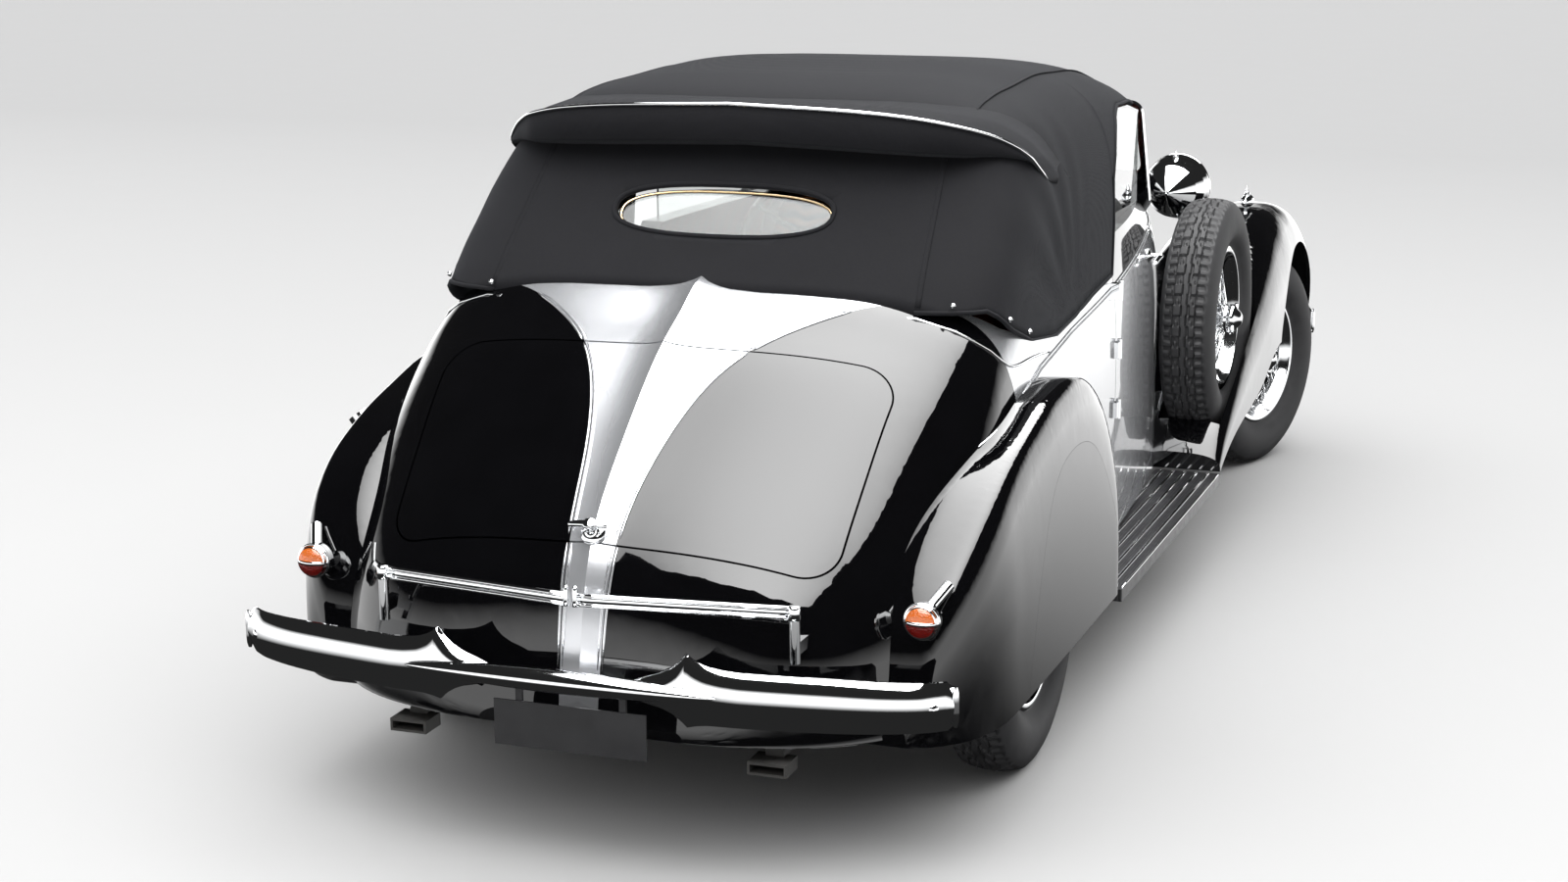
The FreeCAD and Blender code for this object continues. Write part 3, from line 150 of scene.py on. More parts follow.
def enamel(name, band=False, side=False, trim=False):
    """Coach enamel; the band runs down the tail, the side panel lies below the waist moulding."""
    made = Finish(name, Coat_Weight=1.0, Coat_Roughness=0.015, Coat_IOR=1.55, Specular_IOR_Level=0.05)
    x, y, z = made.axes()
    haze = made.noise(9.0, 5.0)
    grain = made.noise(340.0, 2.0)
    mask = None
    if band:
        edge = ((y - 1.624) / -0.22).math("EXPONENT") * 0.397 + 0.032
        mask = (abs(x) - edge).below(0.0, 0.0012)
    if side:
        low, high = waist_stops[0][0], waist_stops[-1][0]
        grey = [((at - low) / (high - low), (line / 1.2,) * 3) for at, line in waist_stops]
        line = made.node("ValToRGB", {"stops": grey}, {"Fac": (y - low) / (high - low)}) * 1.2
        panel = (z - line).below(0.0, 0.0012) * y.below(1.765, 0.001) * abs(x).below(0.55, 0.001).math(
            "SUBTRACT", 1.0).math("ABSOLUTE")
        mask = panel if mask is None else mask.math("MAXIMUM", panel)
    rough = haze * 0.035 + 0.02
    colour = made.mix(haze, BLACK, (0.0026, 0.0026, 0.0032, 1.0))
    if mask is not None:
        flake = made.node("TexVoronoi", {}, {"Vector": made.place, "Scale": 900.0}, "Color")
        metal = made.mix(flake * 0.10, SILVER, (0.70, 0.71, 0.73, 1.0))
        colour = made.mix(mask, colour, metal)
        made.feed(Metallic=mask * 0.72)
        rough = rough + mask * 0.20
    if trim:
        facing = made.node("SeparateXYZ", {}, {0: made.node("TexCoord", result="Normal")})
        lining = (facing * x).below(-0.15, 0.02) * z.below(1.128, 0.001)
        pleat = made.node("TexWave", {"bands_direction": "Y"}, {"Vector": made.place, "Scale": 5.2})
        hide = made.mix(pleat, (0.055, 0.008, 0.006, 1.0), (0.115, 0.018, 0.013, 1.0))
        colour = made.mix(lining, colour, hide)
        rough = rough + lining * 0.36
        made.feed(Coat_Weight=1.0 - lining)
    made.feed(Base_Color=colour, Roughness=rough)
    return made.relief(grain * 0.6 + haze * 0.4, 0.00006, 0.5).material


def coat(material, *names):
    for name in names:
        slots = nodes[name].data.materials
        for place in range(len(slots)):
            slots[place] = material
        if not slots:
            slots.append(material)


coat(enamel("enamel_tail", band=True, side=True), "rear_body")
coat(enamel("enamel_lid", band=True), "boot_lid")
coat(enamel("enamel_door", side=True, trim=True), "door_left", "door_right")
coat(enamel("enamel_cowl", side=True), "cowl", "bonnet_sides")
coat(enamel("enamel_wings"), "rear_wings", "wheel_skirts", "front_wings", "bonnet_left", "bonnet_right")

# ---------------------------------------------------------------- bright metal
# Chromium on brass and steel: bumpers, lamps, radiator shell, screen frame, rack and hinges,
# polished, with faint wiping haze and the smallest pits.


def chrome(name, tint=(0.86, 0.87, 0.88, 1.0), base=0.03, haze=0.08):
    made = Finish(name, Metallic=1.0, Base_Color=tint)
    wipe = made.noise(14.0, 6.0, (1, 1, 3))
    pits = made.noise(500.0, 2.0)
    made.feed(Roughness=wipe.math("POWER", 3.0) * haze + base)
    return made.relief(pits, 0.00004, 0.35).material


plating = chrome("bright_plating")
coat(plating, "front_bumper", "rear_bumper", "headlamps", "parking_lamps", "tail_lamps", "radiator_shell",
     "rack_posts", "fuel_filler_cap", "windscreen_frame", "door_hinges", "bonnet_hinge")
satin_plating = chrome("satin_plating", (0.62, 0.63, 0.64, 1.0), 0.16, 0.2)
coat(satin_plating, "grille")


def skin(name, points, faces, material, smooth=True):
    """A piece from its points and faces."""
    mesh = bpy.data.meshes.new(name)
    mesh.from_pydata([tuple(p) for p in points], [], faces)
    mesh.validate()
    work = bmesh.new()
    work.from_mesh(mesh)
    bmesh.ops.remove_doubles(work, verts=work.verts, dist=1e-6)
    bmesh.ops.recalc_face_normals(work, faces=work.faces)
    work.to_mesh(mesh)
    work.free()
    mesh.polygons.foreach_set("use_smooth", [smooth] * len(mesh.polygons))
    mesh.materials.append(material)
    made = bpy.data.objects.new(name, mesh)
    bpy.context.scene.collection.objects.link(made)
    return made


def grid(rings, closed_round=True, closed_along=False, capped=False):
    """Points and faces of a run of rings with the same number of points each."""
    count, around = len(rings), len(rings[0])
    points = [p for ring in rings for p in ring]
    faces = []
    for i in range(count if closed_along else count - 1):
        j = (i + 1) % count
        for k in range(around if closed_round else around - 1):
            n = (k + 1) % around
            faces.append((i * around + k, i * around + n, j * around + n, j * around + k))
    if capped:
        faces.append(tuple(range(around))[::-1])
        faces.append(tuple((count - 1) * around + k for k in range(around)))
    return points, faces


def sweep(path, width, height=None, sides=10, lift=Vector((0, 0, 1)), closed=False):
    """Points and faces of an oval bar along a path; widths may be one number or one a point."""
    path = [Vector(p) for p in path]
    widths = width if hasattr(width, "__len__") else [width] * len(path)
    heights = widths if height is None else (height if hasattr(height, "__len__") else [height] * len(path))
    rings = []
    for i, at in enumerate(path):
        before = path[i - 1] if i or closed else path[0]
        after = path[(i + 1) % len(path)] if i + 1 < len(path) or closed else path[-1]
        along = (after - before).normalized()
        side = along.cross(lift)
        side = side.normalized() if side.length > 1e-4 else along.orthogonal().normalized()
        top = side.cross(along).normalized()
        rings.append([at + side * (widths[i] * math.cos(2 * math.pi * k / sides))
                      + top * (heights[i] * math.sin(2 * math.pi * k / sides)) for k in range(sides)])
    return grid(rings, closed_along=closed, capped=not closed)


def joined(*parts):
    points, faces = [], []
    for more_points, more_faces in parts:
        start = len(points)
        points += list(more_points)
        faces += [tuple(start + k for k in face) for face in more_faces]
    return points, faces


def spun(outline, centre, axis, steps=48):
    """Points and faces of an outline of (along, radius) turned about an axis."""
    along = Vector(axis).normalized()
    side = along.orthogonal().normalized()
    up = along.cross(side)
    rings = []
    for a, r in outline:
        rings.append([Vector(centre) + along * a + (side * math.cos(t) + up * math.sin(t)) * max(r, 1e-5)
                      for t in [2 * math.pi * k / steps for k in range(steps)]])
    return grid(rings)


def slab(outline, thickness, at=Matrix.Identity(4)):
    """Points and faces of a flat outline of (x, y) points with a thickness along z."""
    low = [at @ Vector((x, y, 0)) for x, y in outline]
    high = [at @ Vector((x, y, thickness)) for x, y in outline]
    return grid([low, high], capped=True)


def bevelled(piece, width, segments=2):
    bevel = piece.modifiers.new("edge", "BEVEL")
    bevel.width = width
    bevel.segments = segments
    bevel.limit_method = "ANGLE"
    return piece


def settle(piece):
    """Takes a piece's modifiers into its mesh."""
    bpy.context.view_layer.update()
    graph = bpy.context.evaluated_depsgraph_get()
    mesh = bpy.data.meshes.new_from_object(piece.evaluated_get(graph))
    piece.modifiers.clear()
    piece.data = mesh
    return piece


def tree_of(name):
    mesh = nodes[name].data
    return BVHTree.FromPolygons([v.co for v in mesh.vertices], [p.vertices for p in mesh.polygons])


skins = {name: tree_of(name) for name in ("rear_body", "boot_lid", "door_left", "door_right", "cowl",
                                          "bonnet_sides", "rear_wings", "front_wings")}
BODY_OF = {"rear_body": "body", "boot_lid": "boot_lid", "door_left": "left_door", "door_right": "right_door",
           "cowl": "body", "bonnet_sides": "body", "rear_wings": "body", "front_wings": "body"}


def landed(start, towards, names):
    """The first of some panels that a line from outside meets: its name, the point and its normal."""
    best = None
    for name in names:
        hit, normal, _, distance = skins[name].ray_cast(Vector(start), Vector(towards))
        if hit is not None and (best is None or distance < best[3]):
            best = (name, hit, normal if normal.dot(Vector(towards)) < 0 else -normal, distance)
    return best


def moulding(name, starts, towards, names, radius, material, gap=0.004):
    """A half-round bead laid along panels, cut at each shut line; each length rides its panel."""
    runs = []
    for start in starts:
        found = landed(start, towards, names)
        if found is None:
            runs.append((None, []))
            continue
        panel, at, normal, _ = found
        if not runs or runs[-1][0] != panel or (at - runs[-1][1][-1]).length > 0.12:
            runs.append((panel, []))
        runs[-1][1].append(at + normal * radius * 0.25)
    count = 0
    for panel, path in runs:
        if panel is None or len(path) < 3:
            continue
        count += 1
        thin = [radius * (0.3 if k in (0, len(path) - 1) else 1.0) for k in range(len(path))]
        bead = skin("%s_%d" % (name, count), *sweep(path, thin, thin), material)
        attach(bead, BODY_OF[panel])


# ---------------------------------------------------------------- mouldings on the coachwork
# Half-round beads: a pair along each edge of the tail's centre band, and a pair along the waist
# that parts the black from the silver. They are let into the panels and painted or polished.
bead_paint = Finish("bead_silver", Metallic=0.8, Base_Color=(0.66, 0.67, 0.69, 1.0), Coat_Weight=1.0)
bead_paint.feed(Roughness=bead_paint.noise(60.0) * 0.1 + 0.12)


def band_edge(y):
    return 0.032 + 0.397 * math.exp((1.624 - y) / 0.22)


for side, word in ((-1, "right"), (1, "left")):
    for offset, part in ((-0.0055, "inner"), (0.0055, "outer")):
        line = [(side * (band_edge(y) + offset), y, 2.0) for y in np.arange(1.640, 2.332, 0.012)]
        moulding("band_bead_%s_%s" % (part, word), line, (0, 0, -1), ("rear_body", "boot_lid"), 0.0030,
                 bead_paint.material)
    for offset, part in ((-0.005, "low"), (0.006, "high")):
        line = []
        for y in np.arange(-0.740, 1.742, 0.015):
            z = np.interp(y, [s[0] for s in waist_stops], [s[1] for s in waist_stops])
            line.append((side * 1.3, y, z + offset))
        moulding("waist_bead_%s_%s" % (part, word), line, (-side, 0, 0),
                 ("cowl", "door_left", "door_right", "rear_body"), 0.0032, bead_paint.material)

# ---------------------------------------------------------------- folding hood
# Double-texture charcoal duck stretched over padded bows: one sheet for the roof, quarters and
# back, a stiffened peak over the back light with bright piping, felled seams and a bound hem.
duck = Finish("hood_duck", Sheen_Weight=0.05, Sheen_Roughness=0.5, Sheen_Tint=(0.8, 0.84, 0.9, 1.0),
              Specular_IOR_Level=0.06)
warp, weft, rise = [duck.node("TexWave", {"bands_direction": way},
                              {"Vector": duck.place, "Scale": 190.0, "Distortion": 0.6}) for way in "XYZ"]
thread = warp.math("MAXIMUM", weft).math("MAXIMUM", rise)
dust = duck.noise(5.0, 6.0)
mottle = duck.noise(130.0, 4.0)
duck.feed(Base_Color=duck.mix(dust * 0.55 + mottle * 0.25 + thread * 0.2, (0.0045, 0.0045, 0.0055, 1.0),
                              (0.018, 0.018, 0.0205, 1.0)),
          Roughness=dust * 0.15 + 0.72)
duck.relief(thread * 0.8 + mottle * 0.5, 0.0006, 0.6)

HOOD = [(-0.530, 0.634, 1.452, 7.0), (-0.300, 0.676, 1.532, 5.6), (0.0, 0.704, 1.598, 4.9),
        (0.250, 0.720, 1.628, 4.6), (0.500, 0.729, 1.640, 4.5), (0.800, 0.737, 1.636, 4.6),
        (1.040, 0.742, 1.614, 4.8), (1.140, 0.744, 1.588, 5.0), (1.230, 0.744, 1.530, 5.0),
        (1.330, 0.744, 1.436, 5.0), (1.430, 0.741, 1.344, 4.8), (1.530, 0.728, 1.250, 4.4),
        (1.590, 0.700, 1.190, 4.0), (1.630, 0.670, 1.148, 3.6)]
HEM = [(-0.530, 1.421), (-0.520, 1.422), (-0.250, 1.462), (0.016, 1.477), (0.118, 1.459), (0.219, 1.407),
       (0.322, 1.310), (0.350, 1.080), (0.3525, 1.044), (0.590, 1.033), (0.815, 1.010), (1.040, 1.001),
       (1.260, 1.030), (1.440, 1.092), (1.530, 1.150), (1.640, 1.150)]
hood_foot = 0.975


def through(rows, at):
    """Value of (place, value) rows at a place, smooth and without overshoot."""
    knots = [r[0] for r in rows]
    values = [r[1] for r in rows]
    if at <= knots[0]:
        return values[0]
    if at >= knots[-1]:
        return values[-1]
    i = max(k for k in range(len(knots)) if knots[k] <= at)

    def slope(k):
        k0, k1 = max(k - 1, 0), min(k + 1, len(knots) - 1)
        if k1 - k0 == 1:
            return (values[k1] - values[k0]) / (knots[k1] - knots[k0])
        left = (values[k] - values[k0]) / (knots[k] - knots[k0])
        right = (values[k1] - values[k]) / (knots[k1] - knots[k])
        return 0 if left * right <= 0 else 2 * left * right / (left + right)

    h = knots[i + 1] - knots[i]
    t = (at - knots[i]) / h
    m, n = slope(i) * h, slope(i + 1) * h
    return (values[i] * (2 * t**3 - 3 * t**2 + 1) + m * (t**3 - 2 * t**2 + t)
            + values[i + 1] * (3 * t**2 - 2 * t**3) + n * (t**3 - t**2))


def evenly(rows, pitch):
    reached = [0.0]
    for before, after in zip(rows, rows[1:]):
        reached.append(reached[-1] + math.hypot(after[0] - before[0], after[2] - before[2]))
    count = math.ceil(reached[-1] / pitch)
    columns = [[(at, row[k]) for at, row in zip(reached, rows)] for k in range(4)]
    return [tuple(through(c, reached[-1] * i / count) for c in columns) for i in range(count + 1)]


def folds(x, y, z):
    """How far the cloth stands in from its bows: soft quarter folds and slack between the bows."""
    quarter = max(0.0, 1 - abs(y - 1.02) / 0.42) * max(0.0, min(1.0, (abs(x) - 0.60) / 0.12))
    fan = math.atan2(z - 1.00, y - 0.80)
    depth = quarter * (0.0045 + 0.0045 * math.sin(fan * 17 + 0.6))
    roof = max(0.0, min(1.0, (z - 1.50) / 0.08))
    depth += roof * 0.004 * (0.5 - 0.5 * math.cos(2 * math.pi * (y + 0.53) / 0.52))
    back = max(0.0, min(1.0, (y - 1.22) / 0.1))
    depth += back * 0.0010 * (0.5 + 0.5 * math.sin(x * 11 + 2 * math.sin(z * 7)))
    return depth * min(1.0, max(0.0, (z - 1.02) / 0.1))


def hood_row(y, half, crown, power, across=73):
    """The cloth across the car at one station, cut where it meets the waist or the deck."""
    hem = np.interp(y, [h[0] for h in HEM], [h[1] for h in HEM])
    dense = []
    for angle in np.linspace(-math.pi / 2, math.pi / 2, 481):
        x = math.copysign(abs(math.sin(angle))**(2 / power), angle) * half
        z = hood_foot + (crown - hood_foot) * max(math.cos(angle), 0)**(2 / power)
        floor = hem
        if y > 1.3:
            deck = skins["rear_body"].ray_cast(Vector((x, y, 2.0)), Vector((0, 0, -1)))[0]
            floor = max(hem, deck.z) if deck is not None else hem
        dense.append((Vector((x, y, z)), z - floor + 0.003))
    kept = []
    for (a, over_a), (b, over_b) in zip(dense, dense[1:]):
        if over_a > 0:
            kept.append(a)
        if (over_a > 0) != (over_b > 0):
            kept.append(a.lerp(b, over_a / (over_a - over_b)))
    if len(kept) < 12:
        return None
    reach = np.concatenate([[0], np.cumsum([(b - a).length for a, b in zip(kept, kept[1:])])])
    flat = np.array(kept)
    at = np.linspace(0, reach[-1], across)
    return [Vector([np.interp(a, reach, flat[:, k]) for k in range(3)]) for a in at]


stations = evenly(evenly(HOOD, 0.12), 0.036)
stations += [tuple(np.interp(y, [s[0] for s in stations], [s[k] for s in stations]) for k in range(4))
             for y in (0.322, 0.336, 0.350, 0.3525)]
stations.sort()
rows = [hood_row(*station) for station in stations]
rows = [row for row in rows if row]
cloth_points, cloth_faces = grid(rows, closed_round=False)
cloth = skin("hood_cloth", cloth_points, cloth_faces, duck.material)
normals = [v.normal.copy() for v in cloth.data.vertices]
outward = sum(n.z for n in normals) > 0
for v, n in zip(cloth.data.vertices, normals):
    v.co += (n if not outward else -n) * folds(*v.co)
wall = cloth.modifiers.new("wall", "SOLIDIFY")
wall.thickness = 0.005
wall.offset = -1 if outward else 1

window_at = Vector((0, 1.424, 1.340))
window_out = Vector((0, 0.69, 0.724)).normalized()
window_up = Vector((0, -0.724, 0.69)).normalized()


def oval(grow=0.0, steps=72):
    """Points round the back light, in the plane of the back panel."""
    points = []
    for k in range(steps):
        t = 2 * math.pi * k / steps
        x = math.copysign(abs(math.cos(t))**0.74, math.cos(t)) * (0.285 + grow)
        up = math.copysign(abs(math.sin(t))**0.80, math.sin(t)) * (0.078 + grow)
        points.append(window_at + Vector((x, 0, 0)) + window_up * up)
    return points


cutter = skin("cutter", *grid([[p - window_out * 0.2 for p in oval(-0.003)],
                               [p + window_out * 0.2 for p in oval(-0.003)]], capped=True), duck.material)
hole = cloth.modifiers.new("light", "BOOLEAN")
hole.object = cutter
hole.solver = "EXACT"
settle(cloth)
bpy.data.objects.remove(cutter)
cloth.data.polygons.foreach_set("use_smooth", [True] * len(cloth.data.polygons))
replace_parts(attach(cloth, "body"), "hood_top")

cloth_tree = BVHTree.FromPolygons([v.co for v in cloth.data.vertices],
                                  [p.vertices for p in cloth.data.polygons])


def on_cloth(at, towards, lift=0.0):
    hit, normal, _, _ = cloth_tree.ray_cast(Vector(at), Vector(towards))
    if hit is None:
        return None
    return hit - Vector(towards).normalized() * lift


PEAK = [(0.0, 1.380, 1.600, 0.086), (0.300, 1.376, 1.590, 0.086), (0.450, 1.366, 1.578, 0.080),
        (0.560, 1.326, 1.556, 0.066), (0.630, 1.252, 1.528, 0.046), (0.680, 1.190, 1.494, 0.024),
        (0.706, 1.152, 1.464, 0.008), (0.7175, 1.046, 1.401, 0.001)]


def peak_line(x):
    return [through([(row[0], row[k]) for row in PEAK], abs(x)) for k in (1, 2, 3)]


peak_rings = []
piping_path = []
peak_ends = np.concatenate([np.linspace(0.45, 0.70, 18), np.linspace(0.704, 0.7175, 8)])
for x in np.concatenate([-peak_ends[::-1], np.linspace(-0.43, 0.43, 31), peak_ends]):
    y, z, drop = peak_line(x)
    piping_path.append(Vector((x, y, z)))
    roof = [on_cloth((x, y - run, 2.0), (0, 0, -1)).z for run in (0.25, 0.12)]
    back = Vector((x, y - 0.25, roof[0] + 0.001))
    ring = [back, Vector((x, y - 0.12, max(roof[1], (roof[0] + z) / 2) + 0.002)),
            Vector((x, y - 0.012, z + 0.001)), Vector((x, y, z - 0.004)),
            Vector((x, y + 0.004, z - drop * 0.35)), Vector((x, y + 0.006, z - drop)),
            Vector((x, y - 0.004, z - drop - 0.004)), Vector((x, y - 0.12, z - drop - 0.03)),
            Vector((x, y - 0.25, min(z, roof[0]) - 0.06))]
    peak_rings.append(ring)
peak = skin("hood_peak", *grid(peak_rings, capped=True), duck.material)
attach(peak, "body")
piping = skin("peak_piping", *sweep([p + Vector((0, 0.002, 0.001)) for p in piping_path], 0.0048), plating)
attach(piping, "body")

seam_parts = []
for side in (-1, 1):
    roof = [on_cloth((side * (0.54 - 0.03 * (0.9 - y)), y, 2.0), (0, 0, -1), 0.0008)
            for y in np.arange(-0.50, 1.16, 0.03)]
    back = [on_cloth((side * (0.54 + 0.10 * (1.30 - z)), 2.2, z), (0, -1, 0), 0.0008)
            for z in np.arange(1.50, 1.15, -0.02)]
    for run, lift in ((roof, Vector((0, 0, 1))), (back, Vector((0, 1, 0.4)))):
        run = [p for p in run if p is not None]
        seam_parts.append(sweep(run, 0.0075, 0.0014, 8, lift))
        stitching = [p + Vector((side * 0.006, 0, 0.0012)) for p in run]
        seam_parts.append(sweep(stitching, 0.0011, 0.0011, 6, lift))
seams = skin("hood_seams", *joined(*seam_parts), duck.material)
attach(seams, "body")

right_hem = [row[0] for row in rows]
left_hem = [row[-1] for row in rows]
binding = joined(*[sweep([p + Vector((0, 0, 0.002)) for p in run], 0.0055, 0.0055, 8)
                   for run in (right_hem, left_hem)])
hem_piece = skin("hood_hem", *binding, duck.material)
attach(hem_piece, "body")

base_line = [p for p in right_hem if p.y > 1.10] + [p for p in reversed(left_hem) if p.y > 1.10]
strip_path, stud_parts, walked = [], [], 0.0
for before, at in zip(base_line, base_line[1:]):
    away = Vector((at.x, (at.y - 1.2) * 1.5, 0)).normalized()
    found = landed((at.x + away.x * 0.014, at.y + away.y * 0.014, 2.0), (0, 0, -1), ("rear_body",))
    if found:
        strip_path.append(found[1] + Vector((0, 0, 0.003)))
    walked += (at - before).length
    if walked > 0.150:
        walked = 0.0
        out = Vector((at.x * 1.2, (at.y - 1.1) * 1.2, 0.25)).normalized()
        stud = [(-0.004, 0.0), (-0.004, 0.0075), (0.003, 0.0065), (0.007, 0.003), (0.0075, 0.0)]
        stud_parts.append(spun(stud, at + Vector((0, 0, 0.020)) + out * 0.002, out, 16))
if len(strip_path) > 3:
    strip = skin("deck_strip", *sweep(strip_path, 0.0036), plating)
    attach(strip, "body")
studs = skin("press_studs", *joined(*stud_parts), plating)
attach(studs, "body")

rim_path = []
for p in oval(0.004):
    hit = on_cloth(p + window_out * 0.3, -window_out, 0.001)
    rim_path.append(hit if hit is not None else p)
rim = skin("back_light_rim", *sweep(rim_path, 0.006, 0.0045, 10, window_out, closed=True), duck.material)
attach(rim, "body")
brass = chrome("back_light_brass", (0.72, 0.55, 0.33, 1.0), 0.14, 0.2)
inner_rim = skin("back_light_frame", *sweep([p - window_out * 0.014 for p in oval(-0.007)], 0.0045, 0.005, 8,
                                            window_out, closed=True), brass)
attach(inner_rim, "body")

# ---------------------------------------------------------------- glass
# Toughened sheet in the screen, doors and back light, and moulded fronts on the lamps.
pane = Finish("clear_glass", Base_Color=(0.93, 0.96, 0.95, 1.0), Transmission_Weight=1.0, IOR=1.45)
pane.feed(Roughness=pane.noise(22.0, 4.0) * 0.02)
coat(pane.material, "windscreen_glass", "rear_window_glass", "door_glass_left", "door_glass_right")
lens = Finish("lamp_front", Base_Color=(0.95, 0.96, 0.97, 1.0), Transmission_Weight=0.85, IOR=1.5)
flute = lens.node("TexWave", {"bands_direction": "X"}, {"Vector": lens.place, "Scale": 24.0})
lens.feed(Roughness=flute * 0.05 + 0.03)
lens.relief(flute, 0.0015, 0.8)
coat(lens.material, "headlamp_lenses")

# ---------------------------------------------------------------- tyres
# Black cross-ply rubber: a zig-zag centre rib, two rows of keyed blocks and ribbed shoulders.
rubber = Finish("tyre_rubber", Specular_IOR_Level=0.35)
scuff = rubber.noise(28.0, 6.0)
fine = rubber.noise(420.0, 3.0)
rubber.feed(Base_Color=rubber.mix(scuff, (0.010, 0.010, 0.011, 1.0), (0.036, 0.036, 0.038, 1.0)),
            Roughness=scuff * 0.25 + 0.52)
rubber.relief(fine * 0.6 + scuff * 0.4, 0.0008, 0.5)

TYRE = [(-0.057, 0.2115), (-0.0605, 0.232), (-0.070, 0.245), (-0.0800, 0.262), (-0.0848, 0.280),
        (-0.0860, 0.298), (-0.0850, 0.315), (-0.0820, 0.331), (-0.0770, 0.346), (-0.0690, 0.360),
        (-0.0600, 0.3700)]


def tyre_mesh():
    """A moulded cover with its tread standing up from the carcass."""
    steps, pitch = 288, 8
    tread = np.linspace(-0.060, 0.060, 31)
    rings = []
    for n in range(steps):
        angle = 2 * math.pi * n / steps
        outline = []
        for k, (x, r) in enumerate(TYRE):
            rib = 0.0012 if k in (4, 6) else 0.0
            outline.append((x - rib, r))
        for x in tread:
            crown = 0.380 - 0.010 * (abs(x) / 0.060)**2.6
            phase = (n % pitch) / pitch
            zig = 0.0035 if phase < 0.5 else -0.0035
            away = abs(x)
            cut = 0.0
            if 0.008 < away + (zig if x > 0 else -zig) < 0.0145:
                cut = 0.007
            elif 0.030 < away + zig < 0.0365:
                cut = 0.007
            elif 0.0145 <= away <= 0.032 and phase in (0.0, 0.125) and away > 0.019:
                cut = 0.006
            elif away >= 0.0365 and n % 4 in (0, 1):
                cut = 0.0055
            outline.append((x, crown - cut))
        for x, r in reversed(TYRE):
            outline.append((-x, r))
        rings.append([Vector((x, r * math.cos(angle), r * math.sin(angle))) for x, r in outline])
    return grid(rings, closed_round=False, closed_along=True)


tyre_master = skin("tyre_master", *tyre_mesh(), rubber.material, smooth=False)
for face in tyre_master.data.polygons:
    centre = face.center
    face.use_smooth = abs(centre.x) > 0.058

# ---------------------------------------------------------------- wire wheels
# Seventy-two plated spokes laced from a splined hub to a well-base rim, held by an eared
# knock-off nut. The spares are the same wheel and stand in wells in the front wings.
wire_plating = chrome("wheel_plating", (0.80, 0.81, 0.82, 1.0), 0.07, 0.12)
RIM = [(-0.062, 0.211), (-0.062, 0.230), (-0.0605, 0.232), (-0.058, 0.230), (-0.057, 0.217), (-0.035, 0.216),
       (-0.024, 0.199), (0.024, 0.199), (0.035, 0.216), (0.057, 0.217), (0.058, 0.230), (0.0605, 0.232),
       (0.062, 0.230), (0.062, 0.211), (0.042, 0.2105), (0.028, 0.193), (-0.028, 0.193), (-0.042, 0.2105)]
HUB = [(-0.0158, 0.0255), (-0.0158, 0.052), (-0.010, 0.053), (-0.002, 0.040), (0.010, 0.0375), (0.048, 0.034),
       (0.055, 0.045), (0.064, 0.046), (0.069, 0.042), (0.072, 0.0455), (0.088, 0.0460), (0.094, 0.040),
       (0.099, 0.030), (0.108, 0.022), (0.114, 0.012), (0.1148, 0.0)]


def wheel_mesh():
    parts = [spun(RIM + RIM[:1], (0, 0, 0), (1, 0, 0), 96), spun(HUB, (0, 0, 0), (1, 0, 0), 40)]
    rows = ((24, -0.010, 0.0500, -0.014, 13.0), (24, 0.058, 0.0440, 0.016, 11.0),
            (24, 0.004, 0.0390, 0.002, 16.0))
    for row, (count, hub_x, hub_r, rim_x, lean) in enumerate(rows):
        for k in range(count):
            angle = 2 * math.pi * (k + 0.33 * row) / count
            far = angle + math.radians(lean if k % 2 else -lean)
            start = Vector((hub_x, hub_r * math.cos(angle), hub_r * math.sin(angle)))
            end = Vector((rim_x, 0.197 * math.cos(far), 0.197 * math.sin(far)))
            nipple = start.lerp(end, 0.90)
            parts.append(sweep([start, nipple], 0.0019, 0.0019, 5))
            parts.append(sweep([nipple, end], [0.0032, 0.0036], None, 6))
    for turn in (0, math.pi):
        ear = [(0.030, -0.014), (0.050, -0.012), (0.0600, -0.006), (0.0620, 0.0), (0.0600, 0.006),
               (0.050, 0.012), (0.030, 0.014)]
        rings = [[Vector((x, r, t)) for r, t in ear] for x in (0.082, 0.094)]
        points, faces = grid(rings, capped=True)
        spin = Matrix.Rotation(turn + 0.5, 4, "X")
        parts.append(([spin @ p for p in points], faces))
    return joined(*parts)


wheel_master = bevelled(skin("wheel_master", *wheel_mesh(), wire_plating), 0.0008, 1)
wheel_master.modifiers[0].angle_limit = math.radians(60)
settle(wheel_master)

lock = math.radians(-18.0)
pin = Vector((0.640, -1.883, 0.380))
out_x = 0.068 * math.cos(lock)
out_y = 0.068 * math.sin(lock)
WHEELS = [("front_left", (pin.x + out_x, pin.y + out_y, 0.380), lock, "left_front_wheel", 0.3),
          ("front_right", (-pin.x - out_x, pin.y - out_y, 0.380), math.pi + lock, "right_front_wheel", 1.1),
          ("rear_left", (0.742, 1.437, 0.380), 0.0, "left_rear_wheel", 0.7),
          ("rear_right", (-0.742, 1.437, 0.380), math.pi, "right_rear_wheel", 2.0),
          ("spare_left", (0.757, -0.838, 0.712), 0.0, "body", 0.9),
          ("spare_right", (-0.757, -0.838, 0.712), math.pi, "body", 0.2)]
for word, centre, turn, body, spin in WHEELS:
    place = Matrix.Translation(centre) @ Matrix.Rotation(turn, 4, "Z")
    for kind, master, slot_name in (("tyre", tyre_master, "tyre_rubber"),
                                    ("wheel", wheel_master, "wheel_silver")):
        made = bpy.data.objects.new("%s_%s_detail" % (kind, word), master.data)
        bpy.context.scene.collection.objects.link(made)
        made.matrix_world = place @ Matrix.Rotation(spin if kind == "wheel" else 0.0, 4, "X")
        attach(made, body)
        cad = "spare_%ss" % kind if word.startswith("spare") else "%s_%s" % (kind, word)
        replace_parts(made, cad)
bpy.data.objects.remove(tyre_master)
